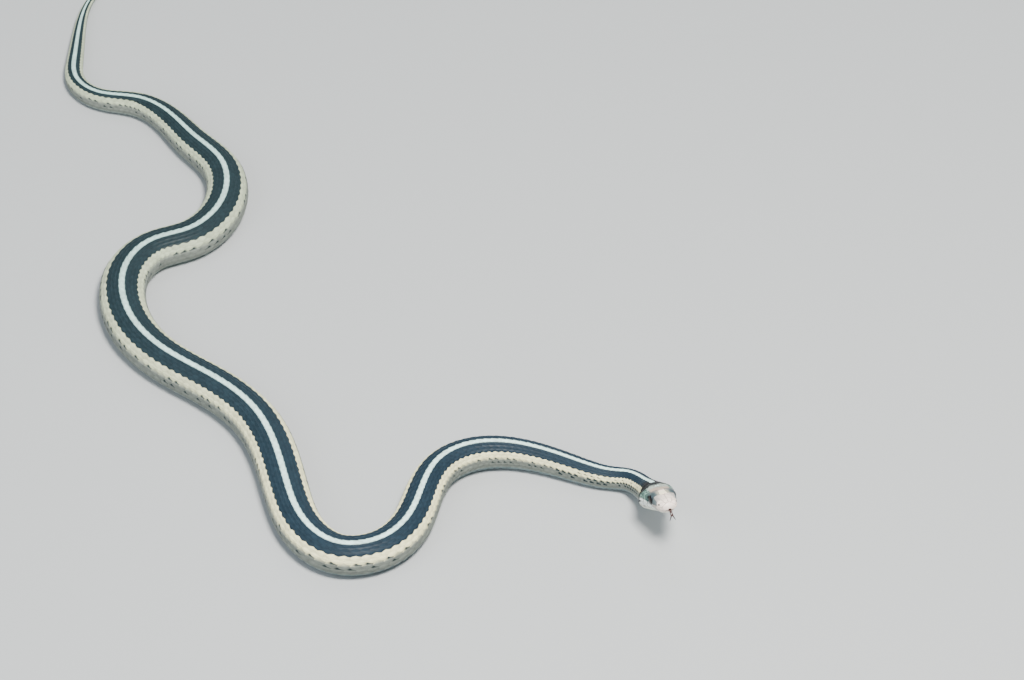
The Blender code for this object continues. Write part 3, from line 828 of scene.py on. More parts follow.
def buildSkin():
    headPoints, headS, headF, headLocal = headSkin()
    bodyPoints, bodyS, bodyF = bodySkin()
    rows, fine = headPoints.shape[:2]
    coarse = bodyPoints.shape[1]
    ratio = skin["coarser"]
    tip = headPoint([0.0, 0.0, head["stations"][0][2]]) + headForward * depths["underPlates"]
    tailEnd = (surface(bodyLength, 0.0) + surface(bodyLength, 1.0)) / 2
    tailEnd = tailEnd + (surface(bodyLength, 0.3) - surface(bodyLength - 1.0, 0.3)) * 0.5
    points = [headPoints.reshape(-1, 3), bodyPoints.reshape(-1, 3), tip[None], tailEnd[None]]
    bodyStart = rows * fine
    edge = (rows - 1) * fine
    middle = ratio // 2
    fan = []
    for i in range(coarse):  # the head's finer ring is joined to the body's coarser one
        inner = edge + (i * ratio + np.arange(ratio + 1)) % fine
        outer = bodyStart + i
        after = bodyStart + (i + 1) % coarse
        fan += [(inner[j], outer, inner[j + 1]) for j in range(middle)]
        fan += [(inner[j], after, inner[j + 1]) for j in range(middle, ratio)]
        fan.append((inner[middle], outer, after))
    tipIndex = bodyStart + bodyPoints.shape[0] * coarse
    fan += [(tipIndex, j, (j + 1) % fine) for j in range(fine)]
    last = tipIndex - coarse
    fan += [(tipIndex + 1, last + (j + 1) % coarse, last + j) for j in range(coarse)]
    s = np.concatenate([headS.ravel(), bodyS.ravel(), [-head["length"], bodyLength]])
    f = np.concatenate([headF.ravel(), bodyF.ravel(), [0.5, 0.0]])
    far = np.full((len(s) - rows * fine, 3), 50.0)  # the body has no place on the head
    colours = skinTone(s, f, np.concatenate([headLocal.reshape(-1, 3), far]))
    ring, share = jawSkin()
    jawLocal = ring.reshape(-1, 3)
    jawColours = skinTone(np.repeat(jawRows - head["length"], ring.shape[1]), share.ravel(), jawLocal)
    jawColours.reshape(*ring.shape)[1:, -len(skin["mouthFloor"]):] = tone["mouth"]
    jawStart = tipIndex + 2
    lastRing = jawStart + (ring.shape[0] - 1) * ring.shape[1]
    caps = [np.arange(ring.shape[1])[None, ::-1] + start for start in (jawStart, lastRing)]
    points.append(headPoint(jawLocal))
    groups = [ringQuads(rows, fine), ringQuads(len(bodyPoints), coarse, bodyStart), np.array(fan),
              ringQuads(*ring.shape[:2], jawStart), *caps]
    item = addMesh("snakeSkin", np.concatenate(points), groups,
                   np.concatenate([colours, jawColours]), hides["snakeSkin"])
    faceOutwards(item, merge=skin["merge"])
    return item


skinItem = buildSkin()
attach(skinItem, "root")
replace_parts(skinItem, "head", "lower_jaw", "neck", "forebody", "midbody_front", "midbody_middle",
            "midbody_rear", "hindbody_front", "hindbody_rear", "tail_base", "tail_tip")
print("skin:", len(skinItem.data.polygons), "faces")

# marks that bound the head plates

topMarks = {  # behind the snout, to the side
    "rostralPeak": (1.05, 0.0), "rostralShoulder": (0.85, 1.15), "internasalEdge": (1.55, 1.75),
    "internasalCorner": (2.75, 2.15), "internasalBack": (2.95, 0.0), "frontalTip": (6.15, 0.0),
    "frontalCorner": (6.45, 1.70), "frontalWaist": (8.7, 1.42), "frontalShoulder": (10.9, 1.60),
    "frontalPoint": (12.7, 0.0), "browBack": (11.35, 3.85), "parietalBack": (18.7, 2.7),
    "parietalHeel": (19.3, 1.0), "parietalSeam": (18.8, 0.0),
}
flankMarks = {  # behind the snout, over the mouth
    "rostralCorner": (1.05, 0.10), "lipA": (0.98, 1.35), "nasalFoot": (2.2, 1.42), "lipB": (2.60, 1.45),
    "nasalCorner": (3.60, 3.25), "nasalBack": (3.60, 1.50), "nostrilTop": (2.15, 2.98),
    "nostrilFront": (1.62, 2.45), "nostrilFoot": (2.2, 1.96), "nostrilBack": (2.80, 2.45),
    "lipC": (4.25, 1.55), "lorealTop": (5.25, 3.65), "lorealFoot": (5.30, 1.55), "lipD": (6.30, 1.48),
    "browFront": (6.72, 4.32), "eyeFront": (7.02, 4.02), "eyeFace": (6.73, 2.95), "eyeFoot": (6.86, 1.69),
    "eyeLow": (7.67, 0.90), "lipE": (8.75, 0.56), "eyeLowBack": (10.05, 0.86), "eyeHeel": (10.93, 1.69),
    "lipF": (11.25, 1.68), "eyeRear": (11.25, 2.60), "eyeRearHigh": (11.25, 3.28), "eyeBack": (11.00, 4.03),
    "eyeTop": (8.9, 4.90), "eyeTopFront": (7.70, 4.50), "eyeTopBack": (10.1, 4.50),
    "postHigh": (12.2, 4.75), "postMiddle": (12.35, 3.75), "postLow": (12.40, 2.75),
    "postFoot": (12.25, 1.78), "templeHigh": (15.0, 5.15), "templeMiddle": (15.25, 3.65),
    "templeLow": (15.0, 2.35), "templeBackHigh": (17.3, 5.2), "templeBack": (17.95, 3.85),
    "templeBackLow": (18.25, 2.35), "lipG": (14.65, 2.25), "lipH": (18.35, 1.85), "lipEnd": (18.75, 0.45),
    "edgeB": (2.62, 0.04), "edgeC": (4.30, -0.10), "edgeD": (6.25, -0.08), "edgeE": (8.45, 0.08),
    "edgeF": (11.2, 0.52), "edgeG": (14.5, 0.90), "edgeGLow": (16.6, 0.80), "edgeFLow": (12.9, 0.78),
}


def flankPoint(behind, above):
    # a point of the head's left side by its height, then points by their distance to the side
    x, z, _ = headSlice(behind)
    return np.array([behind, np.interp(-above, -z, x), above])


def topPoint(behind, side, under=False):
    x, z, _ = headSlice(behind)
    widest = int(np.argmax(x))
    part = slice(None, widest - 1, -1) if under else slice(widest + 1)
    return np.array([behind, side, np.interp(side, x[part], z[part])])


def underPoint(behind, side):
    return topPoint(behind, side, under=True)


# scales of back and sides: keeled, overlapping towards the tail

scales = {
    "pitch": [(-8, 2.1), (0, 2.25), (40, 2.7), (110, 3.3), (250, 3.75), (400, 3.7), (520, 3.0),
              (600, 2.2), (656, 1.2)],
    "length": 1.36,           # of the pitch
    "width": 1.45,            # of the row's width
    "along": [0.0, 0.14, 0.30, 0.48, 0.67, 0.85, 1.0],
    "profile": [0.52, 0.82, 0.97, 1.0, 0.92, 0.68, 0.24],
    "across": [-1.0, -0.62, -0.14, 0.0, 0.14, 0.62, 1.0],
    "root": -0.06, "tip": 0.24, "crown": 0.07, "keel": 0.085, "foot": -0.16, "fullPitch": 3.3,
    "start": -9.0, "sharp": 42, "vary": 0.16, "fleckShare": 0.3, "fleck": 0.12,
    "narrowest": 0.35,        # share of its full width at which a row ends
    "throatEdge": [(19.4, 0.58), (19.4, 0.70)],  # behind the snout, share of the half girth
    "settle": 9,              # the first scales' shift towards the plates fades over this length
    "tuck": 0.95,             # how far the first scales lie under the head plates
    "spotShares": (0.45, 0.45, 0.35),  # how many scales of the rows 6, 7 and 8 have a dark spot
    "seed": 11,
}
pieceEnds = {"scalesFront": 120.0, "scalesMiddle": 290.0, "scalesRear": 450.0, "scalesTail": 660.0}


def scaleRings():
    # places of the scale roots along the body, one pitch after another
    places = [scales["start"]]
    while places[-1] < bodyLength - 1.5:
        places.append(places[-1] + float(steps(places[-1], scales["pitch"])))
    return np.array(places)


def plateRear():
    # the rear edge of the head plates: share of the half girth, place
    top = [topMarks[name] for name in "parietalSeam parietalHeel parietalBack".split()]
    flank = [flankMarks[name] for name in "templeBackHigh templeBack templeBackLow lipH lipEnd".split()]
    marks = [(behind, sliceShare(behind, side=side)) for behind, side in top]
    marks += [(behind, sliceShare(behind, above=above)) for behind, above in flank]
    return [(share, behind - head["length"]) for behind, share in marks + scales["throatEdge"]]


def scaleRoots():
    rear = plateRear()
    rings = scaleRings()
    roots = []
    for row in range(-9, 10):
        side = abs(row)
        shift = None
        for s in rings:
            pitch = float(steps(s, scales["pitch"]))
            place = s + (pitch / 2 if side % 2 else 0)
            edges = rowEdges(np.array([place + pitch * 0.5]))[:, 0]
            width = edges[side + 1] - edges[side] if side else 2 * edges[1]
            middle = (edges[side] + edges[side + 1]) / 2 if side else 0.0
            first = steps(middle, rear) - scales["tuck"]
            narrow = width < scales["narrowest"] * pattern["rows"][side]
            if narrow or place > bodyLength - 1.0 or place < first:
                continue
            if shift is None:
                shift = (first - place, place)  # the first scale moves up to the plates, the next ones less
            place += shift[0] * (1 - float(smooth(0, scales["settle"], place - shift[1])))
            roots.append((place, math.copysign(middle, row), row, width, pitch))
    return np.array(roots)


def relief(pitch):
    # height of small scales beside that of full ones
    return np.clip(pitch / scales["fullPitch"], 0.4, 1.05)[:, None]


def vary(colours, amount, draw):
    # each scale a little lighter or darker
    return colours * (1 + amount * (draw.random((len(colours), 1, 1)) - 0.5))


def conform(roots, along, across, heights):
    # points of a patch on every root; its length and width bend with the body
    s, f, width, pitch = roots[:, 0], roots[:, 1], roots[:, 3], roots[:, 4]
    where = s[:, None] + along[None] * (scales["length"] * pitch)[:, None]
    share = f[:, None] + across[None] * (scales["width"] * width / 2)[:, None]
    return surface(where, share, skinDepth(where) + heights[None] * relief(pitch))


def closedPatch(along, across, height, place):
    # a grid of points with walls down from its edge and a face that closes it below
    index = np.arange(along.size).reshape(along.shape)
    quads = np.stack([index[:-1, :-1], index[:-1, 1:], index[1:, 1:], index[1:, :-1]], -1).reshape(-1, 4)
    edge = np.concatenate([index[0], index[1:, -1], index[-1, -2::-1], index[-2:0:-1, 0]])
    skirt = along.size + np.arange(len(edge))
    walls = np.stack([edge, skirt, np.roll(skirt, -1), np.roll(edge, -1)], -1)
    shape = {"along": along, "across": across, "height": height, "place": place}
    for name, values in shape.items():
        shape[name] = np.concatenate([values.ravel(), values.ravel()[edge]])
    shape["height"][along.size:] = scales["foot"]
    return shape, (quads, walls, skirt[None, ::-1])


def scaleTemplate():
    along, place = np.meshgrid(scales["along"], scales["across"], indexing="ij")
    height = scales["root"] + (scales["tip"] - scales["root"]) * along ** 0.9 - scales["crown"] * place ** 2
    ridge = np.sin(np.pi * np.clip((along + 0.06) / 1.04, 0, 1)) ** 0.6
    height = height + np.where(place == 0, scales["keel"] * ridge, 0)
    height[-1] -= 0.05
    shape, faces = closedPatch(along, place * np.array(scales["profile"])[:, None], height, place)
    shape["across"][along.size:] *= 0.97
    return shape, faces


def scaleTones(roots, shape, draw):
    count = len(roots)
    place = np.repeat(shape["place"][None], count, 0)
    row = np.repeat(np.abs(roots[:, 2:3]), place.shape[1], 1).astype(int)
    s = roots[:, 0:1] + shape["along"][None] * roots[:, 4:5]
    down = place * np.where(roots[:, 2:3] < 0, -1, 1)
    start = np.repeat(roots[:, 0:1], s.shape[1], 1)
    colour = bodyTone(s.ravel(), row.ravel(), down.ravel(), start.ravel()).reshape(count, -1, 3)
    tail = shape["along"][None, :, None]
    # painted shading: each scale is darker at its root, where it lies under the scale ahead, and lighter
    # towards its free tip
    colour = vary(colour, scales["vary"], draw) * (0.84 + 0.20 * smooth(0.1, 0.7, tail))
    # painted shade along each scale's side edges, where it meets its neighbours
    colour = colour * (1 - 0.22 * (np.abs(place) > 0.9)[..., None] * (tail < 0.9))
    flecks = (row <= 4) & (row >= 1) & (np.abs(place) > 0.9) & (shape["along"][None] < 0.5)
    flecks &= draw.random((count, 1)) < scales["fleckShare"]
    colour = mix(colour, "fleck", scales["fleck"] * flecks)
    neck = 1 - smooth(35, 60, s)
    sixth, seventh, eighth = scales["spotShares"]
    often = (seventh * (row == 7) + eighth * (row == 8)) * (1 + neck) + sixth * neck * (row == 6)
    spots = (draw.random((count, 1)) < often) & (down < -0.35 + 0.45 * (neck > 0.3) * (row > 6))
    spots &= (shape["along"][None] < 0.75) & (s > 3)
    return np.where(spots[..., None], tone["tick"], colour)


def setPatches(item, roots, patch, size, start, end):
    # OFBake: each scale is a small patch at its root's place on the unrolled skin, in strips
    strips, patchSize = 4, 0.003
    length = (end - start) / strips
    run = np.clip((roots[:, 0] - start) / length, 0, strips - 1e-6)
    strip = np.floor(run)
    u = 0.01 + 0.98 * (run - strip)
    v = (strip + 0.05 + 0.9 * (roots[:, 1] + 1) / 2) / strips
    corners = np.empty(len(item.data.loops), np.int32)
    item.data.loops.foreach_get("vertex_index", corners)
    owner = corners // size
    uv = np.column_stack([u[owner], v[owner]]) + (patch[corners % size] - 0.5) * patchSize
    layer = item.data.uv_layers.new(name="OFBake")
    layer.data.foreach_set("uv", uv.astype(np.float32).ravel())


def addCoat(name, roots, shape, faces, colours, points, start, end):
    count, size = points.shape[:2]
    offset = (np.arange(count) * size)[:, None, None]
    groups = [(group[None] + offset).reshape(-1, group.shape[1]) for group in faces]
    item = addMesh(name, points.reshape(-1, 3), groups, colours.reshape(-1, 3), hides["keeledScales"],
                   sharp=scales["sharp"])
    patch = np.column_stack([shape["along"], (shape["place"] + 1) / 2])
    setPatches(item, roots, patch, size, start, end)
    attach(item, "root")
    print(name + ":", count, "scales")


def addScales():
    roots = scaleRoots()
    shape, faces = scaleTemplate()
    draw = np.random.default_rng(scales["seed"])
    start = scales["start"]
    for name, end in pieceEnds.items():
        mine = roots[(roots[:, 0] >= start) & (roots[:, 0] < end)]
        points = conform(mine, shape["along"], shape["across"], shape["height"])
        addCoat(name, mine, shape, faces, scaleTones(mine, shape, draw), points, start, end)
        start = end


addScales()

# belly: wide overlapping scutes, paired under the tail

scutes = {
    "share": 0.352,           # of the half girth, from the middle of the belly to a scute's end
    "start": -5.6, "vent": 521.0, "length": 1.30,
    "along": [0.0, 0.30, 0.66, 0.92, 1.0], "heights": [-0.05, 0.06, 0.19, 0.27, 0.20],
    "columns": 25, "rim": 0.10, "bow": 0.10, "seam": 0.005, "spot": (0.74, 0.92), "spotShare": 0.7,
    "vary": 0.08, "seed": 23,
}


def scuteSet(name, places, low, high, columns, draw, start, end):
    along, across = np.meshgrid(scutes["along"], np.linspace(low, high, columns), indexing="ij")
    height = np.array(scutes["heights"])[:, None] - scutes["rim"] * np.abs(across) ** 6
    shape, faces = closedPatch(along, across, height, across)
    pitch = steps(places, scales["pitch"])
    bow = scutes["bow"] * (1 - shape["across"] ** 2)
    where = places[:, None] + (shape["along"] * scutes["length"] + bow)[None] * pitch[:, None]
    share = 1 - scutes["share"] * shape["across"]
    where = np.minimum(where, bodyLength)
    points = surface(where, np.repeat(share[None], len(places), 0),
                     skinDepth(where) + shape["height"][None] * relief(pitch))
    count = len(places)
    colour = vary(bellyTone(where), scutes["vary"], draw)
    level = np.abs(shape["across"])
    # painted shading: each scute is darker at its root, under the scute ahead, and lighter across the
    # middle than towards its ends
    light = (0.86 + 0.16 * smooth(0.0, 0.5, shape["along"])) * (1 + 0.3 * (1 - smooth(0.5, 0.95, level)))
    colour = colour * light[None, :, None]
    near, far = scutes["spot"]
    spot = (level > near) & (level < far) & (shape["along"] < 0.5)
    spot = spot[None] & (draw.random((count, 1)) < scutes["spotShare"]) & (where > 4)
    colour = np.where(spot[..., None], tone["tick"], colour)
    roots = np.column_stack([places, np.full(count, 0.5 * (high + low))])
    addCoat(name, roots, shape, faces, colour, points, start, end)


def addScutes():
    draw = np.random.default_rng(scutes["seed"])
    rings = scaleRings()
    rings = rings[(rings > scutes["start"]) & (rings < bodyLength - 2)]
    vent, seam, columns = scutes["vent"], scutes["seam"], scutes["columns"]
    scuteSet("bellyScutes", rings[rings < vent], -1, 1, columns, draw, scales["start"], vent)
    under = rings[rings >= vent]
    end = pieceEnds["scalesTail"]
    scuteSet("tailScutesLeft", under, seam, 1, columns // 2, draw, vent, end)
    under = under - steps(under, scales["pitch"]) / 2
    scuteSet("tailScutesRight", under, -1, -seam, columns // 2, draw, vent, end)


addScutes()

# head plates: low domed plates that meet in fine seams

plateShape = {
    "step": 0.15, "rounding": 3,  # of a plate's outline
    "grid": (150, 301), "seeds": (5, 6),
    "shelf": 0.60, "shelfRadius": (1.9, 3.0), "shelfUp": (0.6, 1.5), "shelfOut": (2.0, 3.4),
    "insets": [0.04, 0.055, 0.10, 0.19, 0.34], "heights": [-0.20, -0.05, 0.03, 0.058, 0.072],
    "spacing": 0.30, "crown": 0.095, "evenShares": (0.45, 0.55), "vary": 0.12,
    "labialDark": (0.50, 0.80), "parietalSpot": (15.0, 0.42, 0.75, 0.26),  # place and radii
    "centres": {"nasalBack": (3.12, 2.35), "nasalFront": (1.32, 2.05)},  # behind the snout, over the mouth
    "even": ["prefrontal", "supraocular", "loreal", "preocular", "nasalBack", "postocularHigh", "labial3"],
}
plateCorners = {  # the first one is whole, the others are on both sides
    "frontal": "frontalTip frontalCorner frontalWaist frontalShoulder frontalPoint",
    "internasal": "rostralPeak rostralShoulder internasalEdge internasalCorner internasalBack",
    "prefrontal": "internasalBack internasalCorner nasalCorner lorealTop browFront frontalCorner "
                  "frontalTip",
    "supraocular": "frontalCorner browFront eyeFront eyeTopFront eyeTop eyeTopBack eyeBack browBack "
                   "frontalShoulder frontalWaist",
    "parietal": "frontalPoint frontalShoulder browBack postHigh templeHigh templeBackHigh parietalBack "
                "parietalHeel parietalSeam",
    "nasalFront": "rostralShoulder lipA nasalFoot nostrilFoot nostrilFront nostrilTop internasalEdge",
    "nasalBack": "internasalEdge nostrilTop nostrilBack nostrilFoot nasalFoot lipB nasalBack "
                 "nasalCorner internasalCorner",
    "loreal": "nasalCorner nasalBack lipC lorealFoot lorealTop",
    "preocular": "lorealTop lorealFoot lipD eyeFoot eyeFace eyeFront browFront",
    "postocularHigh": "browBack eyeBack eyeRearHigh postMiddle postHigh",
    "postocularMiddle": "postMiddle eyeRearHigh eyeRear postLow",
    "postocularLow": "postLow eyeRear eyeHeel lipF postFoot",
    "temporalFront": "postHigh postMiddle postLow postFoot lipG templeLow templeMiddle templeHigh",
    "temporalHigh": "templeHigh templeMiddle templeBack templeBackHigh",
    "temporalLow": "templeMiddle templeLow lipG lipH templeBackLow templeBack",
    "labial1": "lipA rostralCorner edgeB lipB nasalFoot",
    "labial2": "lipB edgeB edgeC lipC nasalBack",
    "labial3": "lipC edgeC edgeD lipD lorealFoot",
    "labial4": "lipD edgeD edgeE lipE eyeLow eyeFoot",
    "labial5": "lipE edgeE edgeF lipF eyeHeel eyeLowBack",
    "labial6": "lipF edgeF edgeFLow edgeG lipG postFoot",
    "labial7": "lipG edgeG edgeGLow lipEnd lipH",
}
rostralLip = [(0.50, 1.75, 0.06), (0.25, 0.80, 0.08), (0.22, 0.62, 0.42), (0.15, 0.0, 0.66)]


def makeSnap(grid, outward):
    # finds the nearest place of a surface with its smooth normal
    rows, columns = grid.shape[:2]
    normals = gridNormals(grid, outward)
    corner = np.arange((rows - 1) * columns).reshape(-1, columns)[:, :-1].ravel()
    faces = np.column_stack([corner, corner + 1, corner + columns + 1, corner + columns])
    tree = BVHTree.FromPolygons(grid.reshape(-1, 3).tolist(), faces.tolist())

    def snap(places):
        hits = [tree.find_nearest(Vector(place)) for place in places]
        spots = np.array([hit[0] for hit in hits])
        row, column = np.divmod([hit[2] for hit in hits], columns - 1)
        origin = grid[row, column]
        shares = []
        for way in (grid[row + 1, column] - origin, grid[row, column + 1] - origin):
            run = (spots - origin) * way @ np.ones(3) / (way ** 2 @ np.ones(3) + 1e-9)
            shares.append(np.clip(run, 0, 1)[:, None])
        ways = bilinear(normals, row, column, *shares)
        return spots, ways / np.linalg.norm(ways, axis=1)[:, None]

    return snap


def headGrid():
    rows, columns = plateShape["grid"]
    s, f = np.meshgrid(evenRows(rows) - head["length"], np.linspace(-1, 1, columns), indexing="ij")
    local = localOf(surface(s, f))
    local[..., 1] += browOut(local)
    return local


snapToHead = makeSnap(headGrid(), (0, 0, 1))
snapToJaw = makeSnap(jawPoints, (0, 0, -1))


def roundLoop(corners):
    # a closed loop at even small steps, its corners softened
    corners = np.array(corners)
    loop = []
    for one, two in zip(corners, np.roll(corners, -1, 0)):
        count = max(2, int(round(np.linalg.norm(two - one) / plateShape["step"])))
        loop += [one + (two - one) * k / count for k in range(count)]
    loop = np.array(loop)
    for _ in range(plateShape["rounding"]):
        loop = loop * 0.5 + (np.roll(loop, 1, 0) + np.roll(loop, -1, 0)) * 0.25
    return loop


def browShelf(places):
    # the plate over the eye reaches out above it
    rise = places[:, 2] - eyeCentre[2]
    near = 1 - smooth(*plateShape["shelfRadius"], awayFrom("eye", places[:, 0], places[:, 2]))
    out = plateShape["shelf"] * near * smooth(*plateShape["shelfUp"], rise)
    out = out * smooth(*plateShape["shelfOut"], np.abs(places[:, 1]))
    return np.sign(places[:, 1]) * out


def platePatch(title, corners, snap):
    # rings of a plate from under its rim to its middle
    loop = roundLoop(corners)
    centre = snap([(loop.min(0) + loop.max(0) + 2 * loop.mean(0)) / 4])[0][0]
    if title in plateShape["centres"]:
        centre = flankPoint(*plateShape["centres"][title]) * (1, math.copysign(1, centre[1]), 1)
    away = np.linalg.norm(loop - centre, axis=1)[:, None]
    inner = 1 - plateShape["insets"][-1] / away
    count = max(4, int(round(np.median(away) / plateShape["spacing"])))
    shares = [1 - inset / away for inset in plateShape["insets"]]
    shares += [inner * (1 - k / count) for k in range(1, count)]
    shares = [np.maximum(share, 0.05) for share in shares]
    rings = np.concatenate([centre + (loop - centre) * share for share in shares] + [centre[None]])
    places, ways = snap(rings)
    rim = plateShape["heights"][-1]
    heights = plateShape["heights"] + [
        rim + (plateShape["crown"] - rim) * (1 - (1 - k / count) ** 2) for k in range(1, count)]
    count = len(loop)
    heights = np.append(np.repeat(heights, count), plateShape["crown"])
    places = places + ways * heights[:, None]
    index = np.arange(len(shares) * count).reshape(-1, count)
    fan = np.stack([index[-1], np.roll(index[-1], -1), np.full(count, len(places) - 1)], -1)
    depth = np.repeat(np.arange(len(shares)), count)
    return places, [loftQuads(index), fan, index[0][None, ::-1]], np.append(depth, len(shares))


def plateTone(name, places, depth, draw):
    colour = headTone(places)
    if name in plateShape["even"]:  # such a plate is nearer to one colour
        own, shared = plateShape["evenShares"]
        colour = own * colour + shared * colour[-1]
    colour = colour * (1 + plateShape["vary"] * (draw.random() - 0.5))
    side = np.abs(places[:, 1])
    if name.startswith("labial"):
        front, back = places[:, 0].min(), places[:, 0].max()
        reach = (2 * places[:, 0] - front - back) / (back - front)
        start = plateShape["labialDark"][0 if back > 8 else 1]
        colour = mix(colour, "black", 0.9 * smooth(start, start + 0.2, reach))
    if name == "parietal":
        middle, out, length, width = plateShape["parietalSpot"]
        spot = np.hypot((places[:, 0] - middle) / length, (side - out) / width)
        colour = mix(colour, "ice", 1 - smooth(0.7, 1.1, spot))
    if name.startswith(("post", "temporal")):
        colour = mix(colour, "nape", 0.6 * (depth <= 3))
    return colour


def addParts(name, parts):
    # one object from parts on the head, each with its points, faces and colours
    starts = np.cumsum([0] + [len(part[0]) for part in parts])
    groups = [face + start for part, start in zip(parts, starts) for face in part[1]]
    points, colours = [np.concatenate([part[k] for part in parts]) for k in (0, 2)]
    item = addMesh(name, headPoint(points), groups, colours, hides["headPlates"])
    faceOutwards(item)
    return item


def addPlates(name, outlines, snap, seed):
    draw = np.random.default_rng(seed)
    parts = []
    for title, corners in outlines:
        places, faces, depth = platePatch(title, corners, snap)
        if title == "supraocular":
            places[:, 1] += browShelf(places)
        parts.append((places, faces, plateTone(title, places, depth, draw)))
    item = addParts(name, parts)
    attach(item, "root")
    print(name + ":", len(outlines), "plates")
    return item


def pair(name, corners):
    # a plate on the left and its mirror image
    return [(name, corners), (name, [np.array(corner) * (1, -1, 1) for corner in reversed(corners)])]


def bothSides(corners):
    # the left half of a middle plate made whole
    corners = [np.array(corner) for corner in corners]
    return corners + [corner * (1, -1, 1) for corner in reversed(corners) if abs(corner[1]) > 1e-6]


def upperPlates():
    marks = {name: topPoint(*place) for name, place in topMarks.items()}
    marks.update({name: flankPoint(*place) for name, place in flankMarks.items()})
    front = [marks[name] for name in ("rostralPeak", "rostralShoulder", "lipA", "rostralCorner")]
    made = [("rostral", bothSides(front + rostralLip))]
    for name, corners in plateCorners.items():
        outline = [marks[corner] for corner in corners.split()]
        made += [(name, bothSides(outline))] if name == "frontal" else pair(name, outline)
    return made


lowerLip = {
    "bounds": [1.15, 2.1, 3.3, 4.7, 6.3, 8.3, 10.6, 13.0, 15.3, 17.3, 19.2],
    "inner": [1.05, 1.50, 1.90, 2.35, 3.0, 3.9, 4.9, 5.9, 6.6, 6.9, 6.8],  # how far out they end below
    "slant": 0.25,
}
chinMarks = {  # behind the snout, to the side, on the underside
    "mentalBack": (2.05, 0.0), "shieldTip": (3.05, 0.0), "shieldFront": (2.85, 1.0),
    "shieldCorner": (6.3, 2.3), "shieldSeam": (6.5, 0.0), "backSide": (8.8, 2.75),
    "backCorner": (11.6, 2.75), "backHeel": (11.9, 1.5), "backSeam": (8.5, 0.35),
}
chinShields = ["shieldTip shieldFront under1 under2 under3 shieldCorner shieldSeam",
               "shieldSeam shieldCorner backSide backCorner backHeel backSeam"]
mentalFront = [(0.75, 0.0, -0.55), (0.95, 0.95, -0.25)]


def lowerPlates():
    bounds = lowerLip["bounds"]
    top = [flankPoint(u, mouthLevel(u) - skin["mouthGap"] - 0.10) for u in bounds]
    under = [underPoint(u + lowerLip["slant"], inner) for u, inner in zip(bounds, lowerLip["inner"])]
    made = []
    marks = {name: underPoint(*place) for name, place in chinMarks.items()}
    marks.update({"under%d" % i: under[i] for i in range(4)})
    for i in range(len(bounds) - 1):
        outline = [top[i], under[i], under[i + 1], top[i + 1]]
        if i == 0:  # the first pair meets behind the chin plate
            outline[2:2] = [marks["mentalBack"], marks["shieldTip"], marks["shieldFront"]]
        made += pair("labialLow", outline)
    made.append(("mental", bothSides(mentalFront + [top[0], under[0], marks["mentalBack"]])))
    for corners in chinShields:
        made += pair("chinShield", [marks[corner] for corner in corners.split()])
    return made


platesItem = addPlates("headPlates", upperPlates(), snapToHead, plateShape["seeds"][0])
jawPlatesItem = addPlates("jawPlates", lowerPlates(), snapToJaw, plateShape["seeds"][1])

# rims round the eyes and nostrils

rims = {
    "shade": 0.92,
    "eye": {  # distance from the middle of the eye, how far onto the skin, lift
        "section": [(1.72, 0.0, -0.15), (1.83, 0.0, 0.02), (1.89, 0.0, 0.08), (1.97, 0.25, 0.13),
                    (2.08, 0.60, 0.14), (2.18, 0.90, 0.10), (2.27, 1.0, 0.04), (2.37, 1.0, -0.14),
                    (2.05, 1.0, -0.55), (1.72, 0.5, -0.60)],
        # the first dark sections are painted black: the eye's own dark edge, and beyond it painted shade on
        # the skin round the eye
        "turns": 72, "dark": 5,
    },
    "nostril": {  # share of the opening, lift
        "section": [(0.80, -0.45), (0.92, -0.04), (1.02, 0.07), (1.22, 0.12), (1.50, 0.10), (1.75, 0.03),
                    (1.85, -0.12), (1.30, -0.45)],
        # the first dark sections are painted black as shade inside the nostril
        "turns": 36, "dark": 3,
    },
}


def eyeRimPoint(turn, radius, share, lift):
    behind = eyeCentre[0] + radius * math.cos(turn)
    above = eyeCentre[2] + radius * math.sin(turn)
    point = flankPoint(behind, above)
    onSkin = point[1] + float(browOut(point)) + browShelf(np.array([[behind, eyeCentre[1], above]]))[0]
    length, depth, _ = head["eyeRadii"]
    onEye = eyeCentre[1] + depth * math.sqrt(max(1 - (radius / length) ** 2, 0))
    return behind, onEye * (1 - share) + onSkin * share + lift, above


def nostrilRimPoint(turn, share, lift):
    length, height = skin["nostrilRadii"]
    behind = head["nostril"][0] + share * length * math.cos(turn)
    above = head["nostril"][2] + share * height * math.sin(turn)
    place, way = snapToHead([flankPoint(behind, above)])
    return place[0] + way[0] * lift


def addRims():
    parts = []
    for name, place in (("eye", eyeRimPoint), ("nostril", nostrilRimPoint)):
        turns, section, dark = [rims[name][key] for key in ("turns", "section", "dark")]
        ring = [place(turn, *mark) for turn in np.linspace(0, 2 * math.pi, turns, endpoint=False)
                for mark in section]
        index = np.arange(len(ring)).reshape(turns, -1)
        faces = [loftQuads(np.concatenate([index, index[:1]]))]
        # inner sections black: the eye's dark edge, painted shade on the skin round it and inside the
        # nostrils
        inner = np.tile(np.arange(len(section)) < dark, turns)[:, None]
        for hand in (1, -1):
            local = np.array(ring) * (1, hand, 1)
            parts.append((local, faces, np.where(inner, tone["black"], headTone(local) * rims["shade"])))
    item = addParts("eyeAndNostrilRims", parts)
    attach(item, "root")
    print("rims round eyes and nostrils")


addRims()

# eyes: glossy domes with a round pupil

eyes = {
    "segments": 64, "rings": 40,
    "edges": [1.18, 1.32, 1.74],  # of the pupil, the pale ring round it and the iris
    "colours": [(3, 3, 4), (62, 54, 42), (17, 18, 21), (6, 6, 7)],  # of these and of the rim
}


